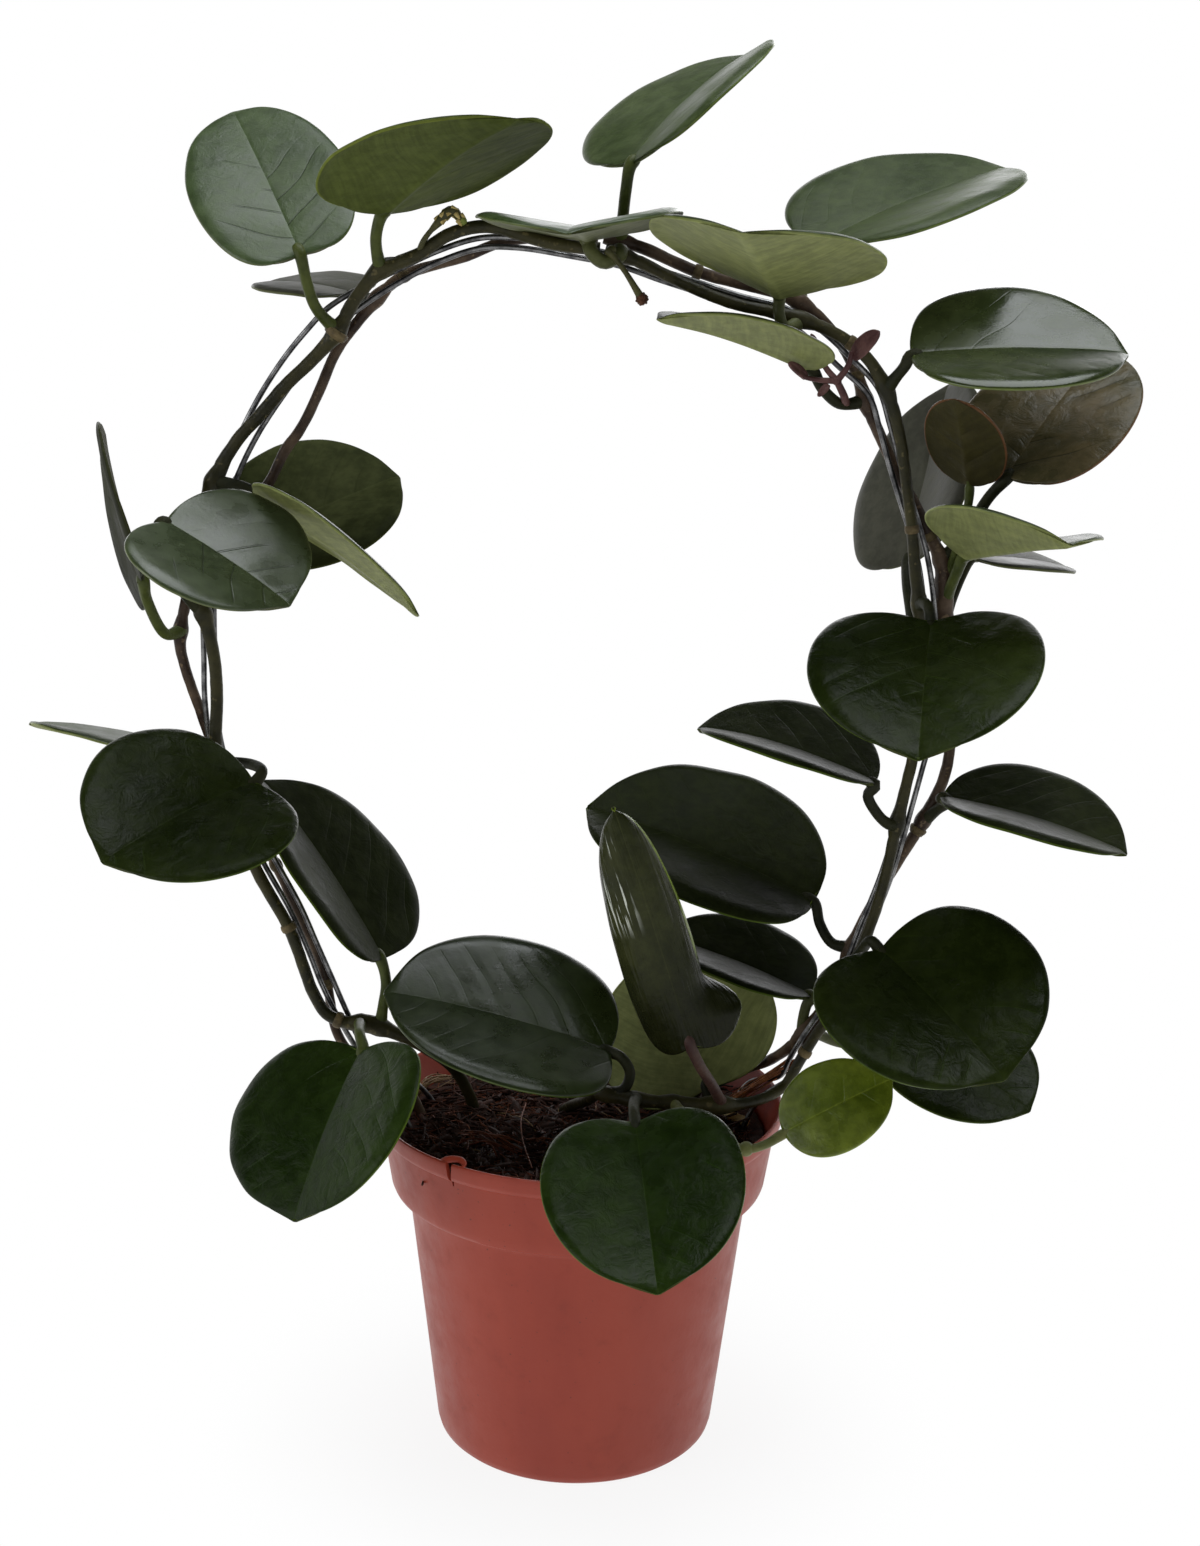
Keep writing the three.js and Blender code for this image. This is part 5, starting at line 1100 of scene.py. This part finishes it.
def scatterTree():
    # lays bent fibres and torn chips over the top of the mix
    tree, nodes, given = newTree("coirScatter", {"Density": "Float", "Length": "Float", "Girth": "Float",
                                                 "Sag": "Float", "Sides": "Int", "Seed": "Int", "Skin": "Material"})
    spots = nodes.add("GeometryNodeDistributePointsOnFaces",
                      {"Mesh": given["Geometry"], "Density": given["Density"], "Seed": given["Seed"]})
    half = nodes.times(given["Length"], 0.5)
    shapes = nodes.add("GeometryNodeJoinGeometry")
    for sideways, up in fibreBends:
        start = nodes.add("ShaderNodeCombineXYZ", {0: nodes.times(half, -1.0)})
        bend = {0: nodes.times(half, sideways), 1: nodes.times(half, 0.6 * sideways),
                2: nodes.times(given["Sag"], 2 * up)}
        middle = nodes.add("ShaderNodeCombineXYZ", bend)
        end = nodes.add("ShaderNodeCombineXYZ", {0: half, 1: nodes.times(half, -0.3)})
        arc = nodes.add("GeometryNodeCurveQuadraticBezier",
                        {"Resolution": 6, "Start": start, "Middle": middle, "End": end})
        tube = tubeNode(nodes, arc, given["Sides"], given["Girth"])
        one = nodes.add("GeometryNodeGeometryToInstance", {"Geometry": tube})
        tree.links.new(one.outputs[0], shapes.inputs[0])
    turn, grow = (nodes.add("FunctionNodeRandomValue", {**span, "Seed": given["Seed"]}, data_type="FLOAT_VECTOR")
                  for span in (fibreTurn, fibreGrowth))
    laid = nodes.add("GeometryNodeInstanceOnPoints",
                     {"Points": spots.outputs["Points"], "Instance": shapes, "Pick Instance": True,
                      "Rotation": turn.outputs["Value"], "Scale": grow.outputs["Value"]})
    endTree(nodes, laid, given["Skin"])
    return tree


def coirPatch(name, radius):
    # the part of the top that gets fibres
    cell, points, faces = coirLook["cell"], [], []
    for x in np.arange(-radius, radius, cell):
        for y in np.arange(-radius, radius, cell):
            corners = [(x, y), (x + cell, y), (x + cell, y + cell), (x, y + cell)]
            clear = math.dist((x + cell / 2, y + cell / 2), coirLook["dentAt"]) > coirLook["dentWidth"]
            if clear and all(math.hypot(*c) < radius for c in corners):
                faces.append(tuple(range(len(points), len(points) + 4)))
                points.extend([(a, b, soilTop(a, b) + coirLook["lift"]) for a, b in corners])
    return meshPiece(name, points, faces, [])


# Loose fibres and chips: how many there would be on 5 cm of radius, and mm
coirCovers = {
    "coir_fibres_fine": {"count": 1500, "length": 11.0, "girth": 0.17, "sag": 1.6, "sides": 3, "seed": 3,
                         "skin": coirFibre, "radius": 51},
    "coir_fibres_dark": {"count": 1300, "length": 14.0, "girth": 0.3, "sag": 1.8, "sides": 4, "seed": 8,
                         "skin": coirDark, "radius": 52},
    "coir_chips": {"count": 520, "length": 6.0, "girth": 1.1, "sag": 0.8, "sides": 5, "seed": 21,
                   "skin": coirDark, "radius": 50},
    "coir_fibres_pale": {"count": 70, "length": 12.0, "girth": 0.2, "sag": 2.0, "sides": 3, "seed": 5,
                         "skin": coirPale, "radius": 48},
}

# Loose strands that stand out in the picture: picture x, picture y and depth of both ends, and how far they part
coirTufts = {
    "coir_tuft_pale": {"ends": [(412, 1096, 12), (446, 1078, 22)], "count": 14, "part": 3.5, "girth": 0.2,
                       "rise": 2.5, "seed": 4, "skin": coirPale},
    "coir_bundle_orange": {"ends": [(728, 1104, 7), (794, 1062, 4)], "count": 22, "part": 2.4, "girth": 0.24,
                           "rise": 1.0, "seed": 6, "skin": coirOrange},
    "coir_tuft_front": {"ends": [(470, 1138, -17), (510, 1148, -24)], "count": 12, "part": 4.0, "girth": 0.22,
                        "rise": 2.2, "seed": 12, "skin": coirFibre},
}
longStrand = {"seen": [(526, 1103, 96), (521, 1122, 99.5), (523, 1141, 99), (532, 1168, 98)], "girth": 0.22}


def tuftPiece(name, look):
    chance = np.random.default_rng(look["seed"])
    shells = []
    for _ in range(look["count"]):
        a, b = (px(*end) + chance.uniform(-1, 1, 3) * look["part"] * (1, 1, 0.3) for end in look["ends"])
        middle = (a + b) / 2 + (0, 0, look["rise"] * chance.uniform(0.3, 1)) + chance.uniform(-1, 1, 3) * (1.5, 1.5, 0)
        path = smoothPath([a, middle, b], 1.2)[0]
        radii = np.full(len(path), look["girth"] * chance.uniform(0.6, 1.3))
        shells.append((*sweep(path, radii, 5), {}, 0))
    shellPiece(name, shells, [look["skin"]], "coir")


coirPiece()
coirScatter = scatterTree()
coverArea = math.pi * 0.05 ** 2
for name, look in coirCovers.items():
    values = {"Density": look["count"] / coverArea, "Sides": look["sides"], "Seed": look["seed"], "Skin": look["skin"]}
    values.update({label: look[label.lower()] * mm for label in ("Length", "Girth", "Sag")})
    patch = coirPatch(name + "Patch", look["radius"])
    finishPiece(bakePiece(name, patch, coirScatter, values), "coir")
for name, look in coirTufts.items():
    tuftPiece(name, look)
strandPoints = smoothPath([pxAtHeight(*p) for p in longStrand["seen"]], 1)[0]  # one fibre that hangs forward
shellPiece("coir_long_strand", [(*sweep(strandPoints, np.full(len(strandPoints), longStrand["girth"]), 6), {}, 0)],
           [coirFibre], "coir")
print("coir laid")

smallSkins = {
    "shoot": stemSkin("shootPurple", (72, 46, 46), (104, 74, 70), 0.45, 200),
    "knob": stemSkin("knobBrown", (62, 38, 26), (92, 60, 40), 0.6, 400),
    "stalk": stemSkin("stalkGreen", (58, 58, 34), (84, 82, 48), 0.45, 200),
    "dry": stemSkin("dryScales", (150, 130, 76), (196, 178, 116), 0.7, 500, (112, 92, 52)),
    "bud": stemSkin("budGreen", (92, 104, 44), (130, 140, 70), 0.5, 300),
    "cut": stemSkin("cutTwig", (212, 184, 134), (238, 216, 170), 0.7, 600),
}

# Small parts: picture x, picture y and depth of each point, radii along it in mm
stalkLook = {"stem": [(607, 250, -9), (614, 257, -9), (624, 270, -9), (642, 299, -9)],
             "stemRadii": [1.15, 0.8, 0.75, 0.9, 1.2], "foot": [(612, 250, -9), (611, 250, -6), (611, 251, front)],
             "footRadii": [1.2, 1.3, 1.4], "knob": 1.6, "scars": 26, "scarTurn": 2.39996, "scarOut": 1.5,
             "scar": 0.36}
spurLook = {"spine": [(418, 255, front), (424, 240, -5), (437, 224, -5), (452, 211, -5), (462, 221, -5)],
            "radii": [0.9, 0.8, 0.7, 1.3, 1.5, 0.8], "scalesFrom": 0.58, "scaleTurn": 2.4, "scaleHalf": 0.9,
            "scaleRadii": [0.75, 0.6, 0.2], "bud": (463, 221, -5), "budRadius": 1.1}
twigLook = {"seen": [(726, 1114, 6), (736, 1118, 8), (748, 1123, 7)], "radii": [1.4, 1.5, 1.55, 1.5]}
shootLook = {"crotch": (837, 381, -5), "crotchRadius": 1.3, "rings": 24, "seed": 60}
shootBranches = [
    ([(820, 380, -6), (802, 376, -8), (790, 365, -9)], [0.95, 0.75, 0.6, 0.35]),
    ([(826, 368, -5), (818, 353, -4), (813, 337, -3)], [0.95, 0.8, 0.5, 0.3]),
    ([(848, 366, -6), (852, 352, -7)], [1.0, 0.8, 0.7]),
    ([(844, 396, -3), (846, 404, 1)], [1.0, 1.1, 1.2])]
shootLeaflets = [
    {"base": (852, 356, -7), "tip": (879, 331), "length": 12, "width": 6, "face": (-0.4, -0.8, 0.4)},
    {"base": (808, 377, -7), "tip": (789, 362), "length": 8, "width": 3.4, "face": (0.3, -0.8, 0.5)},
    {"base": (819, 352, -4), "tip": (812, 334), "length": 7, "width": 2.2, "face": (0.2, -0.9, 0.3)},
    {"base": (829, 384, -6), "tip": (818, 396), "length": 5, "width": 2.4, "face": (0.2, -0.8, 0.5)}]


def seenTube(points, radii, sides, slot=0):
    return tubeShell([px(*p) for p in points], radii, sides, slot)


def flowerStalk():
    look = stalkLook
    knob = px(*look["stem"][-1])
    shells = [seenTube(look["stem"], look["stemRadii"], 12), seenTube(look["foot"], look["footRadii"], 12),
              ballShell(knob, look["knob"], 1)]
    for i in range(look["scars"]):  # scars of the fallen flowers round the knob
        z, a = 1 - 2 * (i + 0.5) / look["scars"], look["scarTurn"] * i
        way = np.array([math.sqrt(1 - z * z) * math.cos(a), math.sqrt(1 - z * z) * math.sin(a), z])
        shells.append(ballShell(knob + way * look["scarOut"], look["scar"], 1, 6))
    skins = [smallSkins["stalk"], smallSkins["knob"]]
    shellPiece("flower_stalk_grown", shells, skins, "green_stalk", "flower_stalk")


def scalySpur():
    look = spurLook
    shells = [seenTube(look["spine"], look["radii"], 12, 1)]
    path, run = smoothPath([px(*p) for p in look["spine"]], 0.55)
    half = look["scaleHalf"]
    for i, tangent in enumerate(np.gradient(path, axis=0)):
        if run[i] < run[-1] * look["scalesFrom"]:
            continue
        along = unit(tangent)
        side = unit(np.cross(along, (0.2, 1, 0.1)))
        a = look["scaleTurn"] * i
        out = math.cos(a) * side + math.sin(a) * np.cross(along, side)
        start = path[i] + out * half
        scale = [start - along * half, start + out * 0.1, start + along * half + out * 0.2]
        shells.append(tubeShell(scale, look["scaleRadii"], 6))
    shells.append(ballShell(px(*look["bud"]), look["budRadius"], 2))
    skins = [smallSkins["dry"], smallSkins["stalk"], smallSkins["bud"]]
    shellPiece("scaly_spur_grown", shells, skins, "dry_spur", "scaly_spur")


def youngShoot():
    crotch = shootLook["crotch"]
    shells = [ballShell(px(*crotch), shootLook["crotchRadius"])]
    for branch, radii in shootBranches:
        shells.append(seenTube([crotch] + branch, radii, 10))
    for i, row in enumerate(shootLeaflets):
        points, faces, _ = bladeMesh(placeLeaf({**flatBlade, **row}), shootLook["seed"] + i, shootLook["rings"])
        shells.append((points, faces, {}, 0))
    shellPiece("young_shoot_grown", shells, [smallSkins["shoot"]], "purple_shoot", "young_shoot")


flowerStalk()
scalySpur()
twig = seenTube(twigLook["seen"], twigLook["radii"], 16)
shellPiece("twig_stub_grown", [twig], [smallSkins["cut"]], "cut_twig", "twig_stub")
youngShoot()
print("small parts made")

studio = {"floor": (0.9, 0.9, 0.91), "floorRough": 0.9, "floorSize": 6000, "floorDown": -0.2, "near": 0.04,
          "far": 0.12, "glow": 0.9, "wall": (1.8, 1.8, 1.83), "wallEdge": (0.55, 0.92), "low": (1.06, 1.06, 1.08),
          "lowEdge": (0.04, 0.2), "lamp": (4.4, 4.4, 4.48), "lampWay": (0.24, 0.93, 0.28),
          "lampEdge": (0.955, 0.985), "backdrop": (1, 1, 1), "sides": (0.85, 0.86, 0.88),
          "room": (0.4, 0.41, 0.43), "roomEdge": (0.1, 0.7), "above": (0.035, 0.037, 0.04),
          "aboveEdge": (0.24, 0.56)}
lights = {
    "overheadBox": {"place": (0.28, 0.12, 1.7), "target": (0.28, 0.08, 0.3), "size": (1.46, 1.1), "power": 24,
                    "tint": (0.94, 0.98, 1)},
    "leftBox": {"place": (-1.5, -0.9, 0.8), "target": (0, 0, 0.2), "size": (1.0, 1.2), "power": 9,
                "tint": (1, 1, 1)},
}


def floorPiece():
    # pale floor: matt under the pot, so that a soft shadow shows, and as bright as the backdrop further off
    material, nodes, shader, where = newMaterial("paleFloor", Roughness=studio["floorRough"])
    shader.inputs["Base Color"].default_value = (*studio["floor"], 1)
    reach = nodes.add("ShaderNodeVectorMath", {0: where}, operation="LENGTH").outputs["Value"]
    glow = nodes.add("ShaderNodeEmission", {"Color": (1, 1, 1, 1), "Strength": 1.0})
    share = nodes.ramp(reach, studio["near"], studio["far"], studio["glow"], 1)
    blend = nodes.add("ShaderNodeMixShader", {0: share, 1: shader.outputs[0], 2: glow})
    nodes.plug(material.node_tree.nodes["Material Output"].inputs["Surface"], blend)
    size, z = studio["floorSize"], studio["floorDown"]
    corners = [(-size, -size, z), (size, -size, z), (size, size, z), (-size, size, z)]
    meshPiece("studioFloor", corners, [(0, 1, 2, 3)], [material], smooth=False)


def studioWorld():
    # a bright wall with a lamp behind the plant, grey sides, a darker room in front, and dark above
    world = bpy.data.worlds.new("studioSky")
    bpy.context.scene.world = world
    world.use_nodes = True
    nodes = Nodes(world.node_tree)
    toward = nodes.add("ShaderNodeTexCoord").outputs["Generated"]
    way = nodes.add("ShaderNodeSeparateXYZ", {0: toward}).outputs
    near = nodes.add("ShaderNodeVectorMath", {0: toward, 1: studio["lampWay"]}, operation="DOT_PRODUCT")
    colour = nodes.mix(nodes.ramp(way["Y"], *studio["wallEdge"]), studio["sides"], studio["wall"])
    colour = nodes.mix(nodes.ramp(way["Z"], *studio["lowEdge"], 1, 0), colour, studio["low"])
    colour = nodes.mix(nodes.ramp(near.outputs["Value"], *studio["lampEdge"]), colour, studio["lamp"])
    colour = nodes.mix(nodes.ramp(nodes.times(way["Y"], -1.0), *studio["roomEdge"]), colour, studio["room"])
    colour = nodes.mix(nodes.ramp(way["Z"], *studio["aboveEdge"]), colour, studio["above"])
    seen = nodes.add("ShaderNodeLightPath").outputs["Is Camera Ray"]
    background = world.node_tree.nodes["Background"]
    nodes.plug(background.inputs["Color"], nodes.mix(seen, colour, studio["backdrop"]))


def areaLight(name, look):
    data = bpy.data.lights.new(name, "AREA")
    data.shape, data.size, data.size_y = "RECTANGLE", *look["size"]
    data.energy, data.color = look["power"], look["tint"]
    light = bpy.data.objects.new(name, data)
    sceneColl.objects.link(light)
    light.location = look["place"]
    light.rotation_euler = (Vector(look["target"]) - Vector(look["place"])).to_track_quat("-Z", "Y").to_euler()


def photoCamera():
    data = bpy.data.cameras.new("photoCamera")
    data.sensor_width = 36
    data.lens = data.sensor_width * photoView["focal"] / photoView["size"][1]
    data.clip_start, data.clip_end = 0.01, 50
    camera = bpy.data.objects.new("photoCamera", data)
    sceneColl.objects.link(camera)
    tilt = Matrix.Rotation(math.radians(90 - photoView["pitch"]), 4, "X")
    turn = tilt @ Matrix.Rotation(math.radians(photoView["roll"]), 4, "Z")
    camera.matrix_world = Matrix.Translation(Vector(photoView["eye"]) * mm) @ turn
    bpy.context.scene.camera = camera


floorPiece()
studioWorld()
for name, look in lights.items():
    areaLight(name, look)
photoCamera()
bpy.context.scene.view_settings.view_transform = "Standard"
print("studio set")
